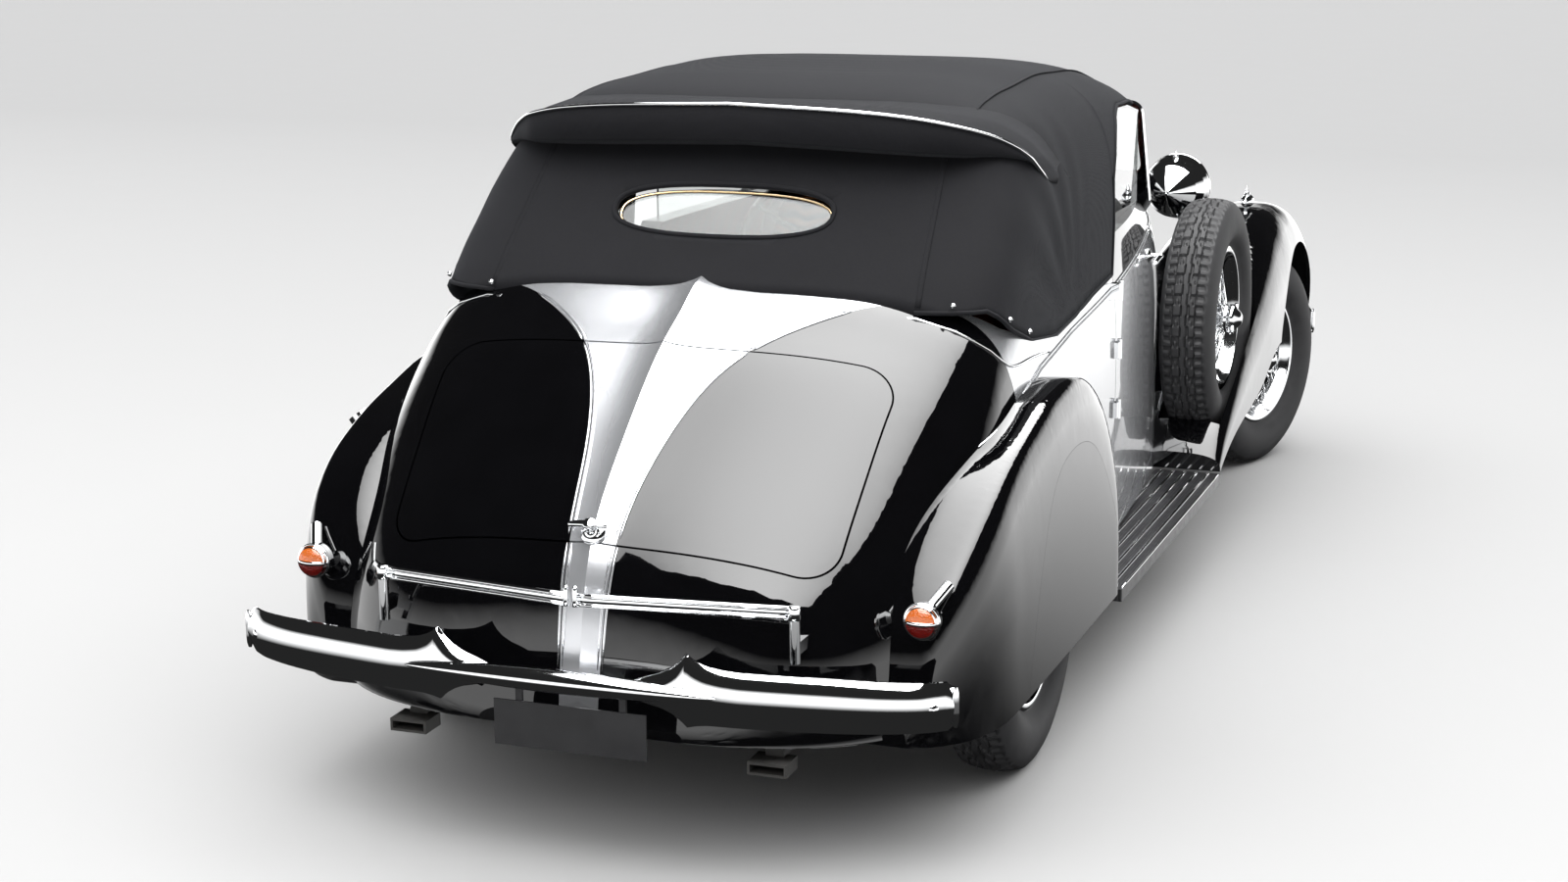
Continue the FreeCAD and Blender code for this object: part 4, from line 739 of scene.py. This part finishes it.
bpy.data.objects.remove(wheel_master)

# ---------------------------------------------------------------- lamps
# Tail lamps: a moulded front in amber over red, parted by a plated band, in a spun plated shell.
# Head and side lamps have spun shells with a rolled rim and a small pointed finial.
lamp_glass = Finish("tail_lamp_front", Transmission_Weight=0.35, IOR=1.5, Coat_Weight=1.0)
lamp_height = lamp_glass.axes()[2]
cell = lamp_glass.node("TexVoronoi", {}, {"Vector": lamp_glass.place, "Scale": 260.0})
lamp_glass.feed(Base_Color=lamp_glass.mix(lamp_height.below(0.583, 0.001), (0.80, 0.17, 0.012, 1.0),
                                          (0.16, 0.006, 0.004, 1.0)),
                Roughness=cell * 0.1 + 0.08)
lamp_glass.relief(cell, 0.002, 0.7)
for side, word in ((-1, "right"), (1, "left")):
    centre = Vector((side * 0.753, 2.169, 0.585))
    dome = [(0.012, 0.0), (0.012, 0.0385), (0.022, 0.0375), (0.030, 0.031), (0.0355, 0.018), (0.0370, 0.0)]
    front = skin("tail_lamp_front_" + word, *spun(dome, centre, (0, 1, 0), 48), lamp_glass.material)
    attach(front, "body")
    bezel = joined(spun([(0.008, 0.037), (0.008, 0.0415), (0.014, 0.0425), (0.0175, 0.0405), (0.016, 0.037)],
                        centre, (0, 1, 0), 48),
                   sweep([centre + Vector((x, 0.012 + 0.0265 * (1 - (x / 0.0385)**2)**0.5, -0.001))
                          for x in np.linspace(-0.0380, 0.0380, 21)], 0.0022, 0.0052, 8))
    ring = skin("tail_lamp_band_" + word, *bezel, plating)
    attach(ring, "body")
    head = Vector((side * 0.418, -1.880, 0.974))
    park = Vector((side * 0.719, -1.683, 0.969))
    rolled = [(-0.080, 0.108), (-0.080, 0.1165), (-0.075, 0.1195), (-0.068, 0.1185), (-0.068, 0.112)]
    bright = joined(spun(rolled, head, (0, 1, 0), 64),
                    spun([(0.108, 0.0), (0.108, 0.016), (0.120, 0.012), (0.127, 0.0)], head, (0, 1, 0), 24),
                    spun([(0.0, 0.0), (0.0, 0.010), (0.010, 0.009), (0.016, 0.005), (0.027, 0.0)],
                         head + Vector((0, -0.02, 0.106)), (0, 0, 1), 20),
                    spun([(0.0, 0.0), (0.0, 0.010), (0.006, 0.011), (0.014, 0.006), (0.026, 0.003),
                          (0.034, 0.0)], park + Vector((0, 0, 0.020)), (0, 0, 1), 20))
    trims = skin("lamp_trims_" + word, *bright, plating)
    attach(trims, "body")

# ---------------------------------------------------------------- bumpers
# Bowed spring-steel blades, crowned across and plated, with a pointed fin over and under each
# inner end, joined by a turned spear; flat arms carry them on the frame.
BLADE_PLAN = [(0.120, 2.451), (0.200, 2.449), (0.400, 2.436), (0.560, 2.414), (0.700, 2.386), (0.800, 2.352),
              (0.868, 2.306)]
BLADE_TOP = [(0.150, 0.455), (0.180, 0.470), (0.206, 0.480), (0.235, 0.489), (0.262, 0.502), (0.285, 0.520),
             (0.299, 0.539), (0.318, 0.525), (0.345, 0.514), (0.380, 0.508), (0.420, 0.505), (0.620, 0.503),
             (0.850, 0.495), (0.866, 0.478)]
BLADE_LOW = [(0.150, 0.433), (0.206, 0.417), (0.240, 0.409), (0.262, 0.400), (0.285, 0.386), (0.299, 0.372),
             (0.320, 0.377), (0.345, 0.380), (0.420, 0.380), (0.620, 0.381), (0.850, 0.387), (0.866, 0.404)]
spear_centre = Vector((0, 2.448, 0.452))
for flip, word, reach in ((1, "rear", 2.215), (-1, "front", 2.290)):
    parts = []
    for side in (-1, 1):
        rings = []
        for x in sorted(set([round(v, 5) for v in np.linspace(0.152, 0.866, 84)] + [0.299, 0.862])):
            plan = through(BLADE_PLAN, x)
            top = np.interp(x, [p[0] for p in BLADE_TOP], [p[1] for p in BLADE_TOP])
            low = np.interp(x, [p[0] for p in BLADE_LOW], [p[1] for p in BLADE_LOW])
            outer, inner = [], []
            for t in np.linspace(-1, 1, 15):
                z = (top + low) / 2 + (top - low) / 2 * t
                crown = 0.019 * abs(t)**2.3
                outer.append(Vector((side * x, flip * (plan - crown), z)))
                inner.append(Vector((side * x * 0.995, flip * (plan - 0.0245), z)))
            rings.append(outer + inner[::-1])
        parts.append(grid(rings, capped=True))
        roll = [Vector((side * 0.8655, flip * 2.300, z)) for z in np.linspace(0.396, 0.486, 9)]
        fat = [0.004, 0.007, 0.008, 0.008, 0.008, 0.008, 0.008, 0.007, 0.004]
        parts.append(sweep(roll, fat, fat, 16, Vector((0, 1, 0))))
        facing = Vector((side * 0.50, flip * 0.87, 0)).normalized()
        bolt = Vector((side * 0.826, flip * 2.333, 0.441))
        parts.append(spun([(-0.004, 0.0), (-0.004, 0.0135), (0.001, 0.013), (0.0045, 0.009), (0.0055, 0.0)],
                          bolt, facing, 24))
        arm = [(side * 0.384, flip * reach), (side * 0.384, flip * 2.424), (side * 0.356, flip * 2.424),
               (side * 0.356, flip * reach)]
        parts.append(slab(arm, 0.032, Matrix.Translation((0, 0, 0.425))))
    shares = np.sin(np.linspace(-1, 1, 41) * math.pi / 2)
    profile = [(s * 0.376, 0.027 * max(1 - s * s, 0)**0.7) for s in shares]
    parts.append(spun(profile, (0, flip * spear_centre.y, spear_centre.z), (1, 0, 0), 32))
    bar = [(-0.300, flip * 2.404), (0.300, flip * 2.404), (0.300, flip * 2.426), (-0.300, flip * 2.426)]
    parts.append(slab(bar, 0.020, Matrix.Translation((0, 0, 0.435))))
    blades = skin("%s_bumper_detail" % word, *joined(*parts), plating)
    sharp = blades.modifiers.new("edges", "EDGE_SPLIT")
    sharp.split_angle = math.radians(50)
    settle(blades)
    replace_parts(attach(blades, "body"), word + "_bumper")

# ---------------------------------------------------------------- luggage rack and handles
# Cast and plated: two hinged rack arms with rolled edges and upright tips, a lever lock on the
# boot lid and lever door handles.
rack_pin = Vector((0.502, 2.298, 0.613))
rack_tip = Vector((0.004, 2.361, 0.613))
for side, word in ((-1, "right"), (1, "left")):
    a = Vector((rack_pin.x * side, rack_pin.y, rack_pin.z))
    b = Vector((rack_tip.x * side, rack_tip.y, rack_tip.z))
    run = [a.lerp(b, t) for t in np.linspace(0.02, 0.985, 12)]
    parts = []
    for height in (-0.0105, 0.0105):
        parts.append(sweep([p + Vector((0, 0, height)) for p in run], 0.0062, 0.0048, 12))
    parts.append(sweep(run, 0.0034, 0.0105, 8))
    barrel = [(-0.016, 0.0), (-0.016, 0.012), (-0.013, 0.014), (0.013, 0.014), (0.016, 0.012), (0.016, 0.0)]
    parts.append(spun(barrel, a, (0, 0, 1), 28))
    tip = [b + Vector((side * 0.007, 0, h)) for h in (-0.014, 0.0, 0.014, 0.026, 0.0325)]
    parts.append(sweep(tip, [0.007, 0.007, 0.0065, 0.006, 0.003], [0.008, 0.008, 0.0075, 0.006, 0.003],
                       12, Vector((0, 1, 0))))
    arm = skin("rack_arm_%s_detail" % word, *joined(*parts), plating)
    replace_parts(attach(arm, word + "_rack_arm"), "rack_arm_" + word)

    found = landed((side * 1.3, -0.310, 0.990), (-side, 0, 0), ("door_left", "door_right"))
    at = found[1]
    out = Vector((side, 0, 0))
    boss = [(-0.002, 0.0), (-0.002, 0.024), (0.003, 0.023), (0.006, 0.016), (0.012, 0.009), (0.036, 0.008),
            (0.042, 0.011), (0.046, 0.0)]
    grip = [at + out * 0.040 + Vector((0, y, -0.012 * (y / 0.10)**2)) for y in np.linspace(-0.018, 0.095, 12)]
    parts = [spun(boss, at, out, 28),
             sweep(grip,
                   [0.004, 0.0075, 0.009, 0.009, 0.0088, 0.0086, 0.0084, 0.0082, 0.008, 0.008, 0.007, 0.003],
                   [0.003, 0.006, 0.007, 0.007, 0.0065, 0.006, 0.006, 0.006, 0.006, 0.006, 0.005, 0.002], 14)]
    handle = skin("door_handle_" + word, *joined(*parts), plating)
    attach(handle, word + "_door")

found = landed((0.0, 2.233, 2.0), (0, 0, -1), ("boot_lid",))
at, out = found[1], Vector((0, 0.645, 0.764))
lever = [at + out * h + Vector((x, 0, 0)) for h, x in
         ((0.026, -0.042), (0.030, -0.025), (0.033, 0.0), (0.032, 0.02), (0.030, 0.035), (0.027, 0.048),
          (0.024, 0.056))]
parts = [spun([(-0.004, 0.0), (-0.004, 0.030), (0.002, 0.029), (0.006, 0.020), (0.012, 0.013), (0.028, 0.012),
               (0.036, 0.016), (0.040, 0.012), (0.042, 0.0)], at, out, 32),
         sweep(lever, [0.004, 0.008, 0.010, 0.009, 0.0085, 0.0075, 0.003],
               [0.004, 0.0065, 0.008, 0.0075, 0.007, 0.006, 0.002], 14, out)]
lock_piece = skin("boot_lever", *joined(*parts), plating)
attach(lock_piece, "boot_lid")

# ---------------------------------------------------------------- running boards
# Pressed boards covered in ribbed black rubber, with bright rubbing strips let in along them.
board_rubber = Finish("board_rubber", Coat_Weight=0.4, Coat_Roughness=0.2)
rib = board_rubber.node("TexWave", {"bands_direction": "X"}, {"Vector": board_rubber.place, "Scale": 38.0})
board_rubber.feed(Base_Color=board_rubber.mix(board_rubber.noise(16.0, 5.0), (0.006, 0.006, 0.007, 1.0),
                                              (0.02, 0.02, 0.022, 1.0)),
                  Roughness=board_rubber.noise(30.0) * 0.3 + 0.22)
board_rubber.relief(rib, 0.0012, 0.6)
coat(board_rubber.material, "running_boards")
for side, word in ((-1, "right"), (1, "left")):
    parts = []
    for x in (0.706, 0.742, 0.778, 0.814, 0.850):
        front, rear = -0.452, 0.80
        path = [(side * x, y, 0.2905) for y in np.linspace(front, rear, 24)]
        parts.append(sweep(path, 0.0055, 0.0042, 10))
    edge = [(side * 0.8815, y, 0.287) for y in np.linspace(-0.455, 0.825, 24)]
    parts.append(sweep(edge, 0.0035, 0.006, 10))
    strips = skin("board_strips_" + word, *joined(*parts), plating)
    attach(strips, "body")

# ---------------------------------------------------------------- chassis and undersides
# Pressed frame rails, axles, springs and exhaust in satin black, with road dust low down.
satin = Finish("chassis_satin", Specular_IOR_Level=0.4)
grime = satin.noise(11.0, 7.0)
satin.feed(Base_Color=satin.mix(grime, (0.010, 0.010, 0.010, 1.0), (0.042, 0.040, 0.037, 1.0)),
           Roughness=grime * 0.35 + 0.38)
satin.relief(satin.noise(220.0, 4.0), 0.0006, 0.5)
coat(satin.material, "chassis_frame", "front_axle", "rear_axle", "leaf_springs", "track_rod", "knuckle_left",
     "knuckle_right", "steering_column", "exhaust_pipes", "floor_pan", "radiator_core")
plate_black = Finish("plate_black", Coat_Weight=0.5)
plate_black.feed(Base_Color=plate_black.mix(plate_black.noise(18.0, 5.0), (0.006, 0.006, 0.007, 1.0),
                                            (0.022, 0.022, 0.024, 1.0)),
                 Roughness=plate_black.noise(9.0, 4.0) * 0.25 + 0.25)
plate_black.relief(plate_black.noise(300.0, 2.0), 0.0002, 0.5)
coat(plate_black.material, "licence_plate")
iron = Finish("engine_iron", Metallic=0.6)
cast = iron.noise(160.0, 5.0)
iron.feed(Base_Color=iron.mix(cast, (0.10, 0.10, 0.10, 1.0), (0.22, 0.22, 0.21, 1.0)),
          Roughness=cast * 0.3 + 0.45)
iron.relief(cast, 0.0015, 0.8)
coat(iron.material, "engine_block")

# ---------------------------------------------------------------- bonnet louvres
# A row of pressed louvres down each side panel, each a shallow hood open at its rear edge.
for side, word in ((-1, "right"), (1, "left")):
    parts = []
    for y in np.arange(-1.980, -0.960, 0.042):
        found = landed((side * 1.2, y, 0.86), (-side, 0, 0), ("bonnet_sides",))
        if found is None:
            continue
        rings = []
        for z in np.linspace(0.775, 0.935, 9):
            spot = landed((side * 1.2, y, z), (-side, 0, 0), ("bonnet_sides",))
            if spot is None:
                continue
            share = math.sin(math.pi * (z - 0.765) / 0.18)
            base = spot[1]
            section = ((-0.001, -0.012), (0.0045 * share, 0.0), (0.0075 * share, 0.011), (-0.001, 0.0115))
            rings.append([base + Vector((side * proud, along, 0)) for proud, along in section])
        if len(rings) > 3:
            parts.append(grid(rings, capped=True))
    if parts:
        louvres = skin("louvres_" + word, *joined(*parts), nodes["bonnet_sides"].data.materials[0])
        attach(louvres, "body")

# ---------------------------------------------------------------- seats
# Sprung cushions and squabs trimmed in dark red hide with sewn pleats; a pair of front seats
# and a rear bench. Each is stuffed by a short cloth simulation.
hide = Finish("seat_hide", Coat_Weight=0.25, Coat_Roughness=0.3)
pebble = hide.node("TexVoronoi", {}, {"Vector": hide.place, "Scale": 420.0})
worn = hide.noise(6.0, 5.0)
flutes = (hide.axes()[0] * 62.0).math("SINE").math("ABSOLUTE").math("POWER", 0.4)
hide.feed(Base_Color=hide.mix(worn, (0.075, 0.011, 0.008, 1.0), (0.14, 0.026, 0.018, 1.0)),
          Roughness=worn * 0.2 + pebble * 0.15 + 0.3)
hide.relief(pebble * 0.05 + flutes * 0.9, 0.006, 0.7)


def cushion(name, x0, x1, outline):
    """A stuffed piece between two sides, from its outline of (y, z) points."""
    rings = []
    for share in np.linspace(0, 1, 15):
        x = x0 + (x1 - x0) * share
        pull = 1 - 0.05 * abs(2 * share - 1)**4
        cy = sum(p[0] for p in outline) / len(outline)
        cz = sum(p[1] for p in outline) / len(outline)
        rings.append([Vector((x, cy + (y - cy) * pull, cz + (z - cz) * pull)) for y, z in outline])
    made = skin(name, *grid(rings, capped=True), hide.material)
    bevelled(made, 0.028, 3)
    made.modifiers[0].angle_limit = math.radians(40)
    remesh = made.modifiers.new("voxels", "REMESH")
    remesh.mode = "VOXEL"
    remesh.voxel_size = 0.014
    remesh.use_smooth_shade = True
    settle(made)
    rest = np.array([v.co for v in made.data.vertices])
    cloth_sim = made.modifiers.new("stuffing", "CLOTH")
    cloth_sim.settings.use_pressure = True
    cloth_sim.settings.uniform_pressure_force = 4.0
    cloth_sim.settings.effector_weights.gravity = 0.0
    cloth_sim.point_cache.frame_start = 1
    cloth_sim.point_cache.frame_end = 20
    for step in range(1, 21):
        bpy.context.scene.frame_set(step)
    settle(made)
    bpy.context.scene.frame_set(1)
    now = np.array([v.co for v in made.data.vertices])
    shift = now - rest
    far = np.linalg.norm(shift, axis=1, keepdims=True)
    now = rest + shift * np.minimum(1.0, 0.018 / np.maximum(far, 1e-9))
    made.data.vertices.foreach_set("co", now.ravel())
    made.data.update()
    finer = made.modifiers.new("finer", "SUBSURF")
    finer.levels = 1
    finer.render_levels = 1
    settle(made)
    made.data.polygons.foreach_set("use_smooth", [True] * len(made.data.polygons))
    made.data.materials.clear()
    made.data.materials.append(hide.material)
    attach(made, "body")
    return made


for side, word in ((-1, "right"), (1, "left")):
    x0, x1 = side * 0.06, side * 0.54
    seat = cushion("front_cushion_" + word, min(x0, x1), max(x0, x1),
                   [(0.06, 0.50), (0.055, 0.66), (0.075, 0.725), (0.22, 0.735), (0.40, 0.715), (0.42, 0.50)])
    squab = cushion("front_squab_" + word, min(x0, x1), max(x0, x1),
                    [(0.435, 0.50), (0.45, 0.72), (0.49, 1.02), (0.51, 1.12), (0.545, 1.14), (0.595, 1.12),
                     (0.60, 1.06), (0.555, 0.72), (0.54, 0.50)])
    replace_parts(seat, "front_seats")
    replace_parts(squab, "front_seats")
rear_cushion = cushion("rear_cushion", -0.56, 0.56,
                       [(0.78, 0.72), (0.775, 0.755), (0.79, 0.775), (0.90, 0.782), (1.00, 0.77),
                        (1.01, 0.72)])
rear_squab = cushion("rear_squab", -0.56, 0.56,
                     [(1.035, 0.74), (1.05, 0.90), (1.085, 1.13), (1.105, 1.155), (1.17, 1.155),
                      (1.185, 1.13), (1.15, 0.90), (1.14, 0.74)])
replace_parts(rear_cushion, "rear_seat")
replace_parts(rear_squab, "rear_seat")

# ---------------------------------------------------------------- dashboard and controls
# A walnut-veneered board with five instruments in plated bezels, and a black rimmed wheel.
walnut = Finish("dash_walnut", Coat_Weight=0.9, Coat_Roughness=0.06)
ring_grain = walnut.node("TexWave", {"wave_type": "BANDS", "bands_direction": "Z"},
                         {"Vector": walnut.place, "Scale": 9.0, "Distortion": 9.0, "Detail": 4.0})
walnut.feed(Base_Color=walnut.mix(ring_grain, (0.055, 0.020, 0.007, 1.0), (0.20, 0.085, 0.032, 1.0)),
            Roughness=ring_grain * 0.1 + 0.25)
walnut.relief(ring_grain, 0.0004, 0.4)
coat(walnut.material, "dashboard")
black_rim = Finish("wheel_rim", Coat_Weight=0.8, Coat_Roughness=0.08)
black_rim.feed(Base_Color=black_rim.mix(black_rim.noise(30.0), (0.005, 0.005, 0.005, 1.0),
                                        (0.016, 0.015, 0.014, 1.0)),
               Roughness=black_rim.noise(50.0) * 0.2 + 0.2)
black_rim.relief(black_rim.noise(240.0), 0.0003, 0.4)
coat(black_rim.material, "steering_wheel")
dial_face = Finish("dial_face")
spot = dial_face.noise(90.0)
dial_face.feed(Base_Color=dial_face.mix(spot, (0.62, 0.58, 0.48, 1.0), (0.74, 0.70, 0.60, 1.0)),
               Roughness=spot * 0.2 + 0.3)
dial_face.relief(spot, 0.0003, 0.3)
faces_parts, bezel_parts, needle_parts = [], [], []
for x, z, r in ((-0.10, 1.035, 0.055), (0.03, 1.035, 0.055), (-0.21, 1.03, 0.032), (0.13, 1.03, 0.032),
                (-0.31, 1.03, 0.032)):
    centre = Vector((x, -0.500, z))
    faces_parts.append(spun([(0.0, 0.0), (0.0, r), (0.003, r), (0.003, 0.0)], centre, (0, 1, 0), 40))
    bezel_parts.append(spun([(0.0, r), (0.0, r + 0.005), (0.006, r + 0.004), (0.008, r), (0.004, r - 0.003)],
                            centre, (0, 1, 0), 40))
    needle_parts.append(sweep([centre + Vector((0, 0.005, 0)), centre + Vector((r * 0.5, 0.005, r * 0.55))],
                              [0.0016, 0.0006], [0.0008, 0.0006], 6))
dials = skin("dial_faces", *joined(*faces_parts), dial_face.material)
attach(dials, "body")
bezels = skin("dial_bezels", *joined(*bezel_parts), plating)
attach(bezels, "body")
needles = skin("dial_needles", *joined(*needle_parts), black_rim.material)
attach(needles, "body")

# ---------------------------------------------------------------- studio
# A pale seamless floor, a long soft ceiling over the car's right side, a pale surround low
# down and darkness above it, and the camera behind the car's right rear quarter.
floor_paint = Finish("studio_floor", Specular_IOR_Level=0.1)
# Painted shade: the floor's colour darkens away from the camera, towards -y, standing in for the light
# falling off with distance.
depth = (floor_paint.axes()[1] * 0.085 + 0.92).math("MINIMUM", 1.0).math("MAXIMUM", 0.0)
floor_paint.feed(Base_Color=floor_paint.mix(depth, (0.36, 0.36, 0.362, 1.0), (0.48, 0.48, 0.48, 1.0)),
                 Roughness=floor_paint.noise(3.0) * 0.1 + 0.7)
reach = 160
floor_corners = [(-reach, -reach, 0), (reach, -reach, 0), (reach, reach, 0), (-reach, reach, 0)]
ground = skin("studio_floor", floor_corners, [(0, 1, 2, 3)], floor_paint.material)
ground.visible_glossy = False

ceiling_paint = bpy.data.materials.new("ceiling_glow")
ceiling_paint.use_nodes = True
glow_tree = ceiling_paint.node_tree
glow_tree.nodes.clear()
glow = glow_tree.nodes.new("ShaderNodeEmission")
glow_out = glow_tree.nodes.new("ShaderNodeOutputMaterial")
glow_tree.links.new(glow.outputs[0], glow_out.inputs[0])
glow_place = glow_tree.nodes.new("ShaderNodeTexCoord")
glow_split = glow_tree.nodes.new("ShaderNodeSeparateXYZ")
glow_tree.links.new(glow_place.outputs["Object"], glow_split.inputs[0])
across = Signal(glow_tree, glow_split.outputs[0])
power = 10.6 - (across + 1.3) * (across + 1.3) * 0.40
glow_tree.links.new(power.socket, glow.inputs["Strength"])
ceiling = skin("studio_ceiling", [(-4.6, -5.0, 6.0), (2.5, -5.0, 6.0), (2.5, 9.5, 6.0), (-4.6, 9.5, 6.0)],
               [(3, 2, 1, 0)], ceiling_paint)
ceiling.visible_diffuse = False
ceiling.visible_shadow = False

for name, tilt, strength, spread in (("overhead", (-10.0, 6.0), 5.2, 120.0),
                                     ("far_side", (28.0, -30.0), 1.3, 80.0)):
    data = bpy.data.lights.new(name, "SUN")
    data.energy = strength
    data.angle = math.radians(spread)
    lamp = bpy.data.objects.new(name, data)
    lamp.rotation_euler = (math.radians(tilt[0]), math.radians(tilt[1]), 0)
    lamp.visible_glossy = False
    bpy.context.scene.collection.objects.link(lamp)

world = bpy.data.worlds.new("studio")
bpy.context.scene.world = world
world.use_nodes = True
sky = world.node_tree
surround = sky.nodes["Background"]
surround.inputs["Color"].default_value = (1.0, 1.0, 1.0, 1.0)
sky_place = sky.nodes.new("ShaderNodeTexCoord")
sky_split = sky.nodes.new("ShaderNodeSeparateXYZ")
sky.links.new(sky_place.outputs["Generated"], sky_split.inputs[0])
height = Signal(sky, sky_split.outputs[2])
level = (height.below(0.12, 0.16) - height.below(-0.24, 0.20)) * 1.9 + 0.02
sky.links.new(level.socket, surround.inputs["Strength"])

camera_data = bpy.data.cameras.new("camera")
camera_data.lens = 59.7
camera_data.sensor_width = 36.0
camera_data.clip_end = 300.0
camera = bpy.data.objects.new("camera", camera_data)
azimuth, roll = math.radians(200.62), math.radians(-0.59)
right = Vector((math.cos(azimuth), math.sin(azimuth), 0))
back = Vector((-0.3426, 0.9104, 0.2319)).normalized()
up = back.cross(right)
tilted_right = right * math.cos(roll) + up * math.sin(roll)
tilted_up = up * math.cos(roll) - right * math.sin(roll)
turn = Matrix((tilted_right, tilted_up, back)).transposed().to_4x4()
camera.matrix_world = Matrix.Translation((-2.375, 7.329, 2.275)) @ turn
bpy.context.scene.collection.objects.link(camera)
bpy.context.scene.camera = camera
bpy.context.scene.view_settings.view_transform = "Standard"
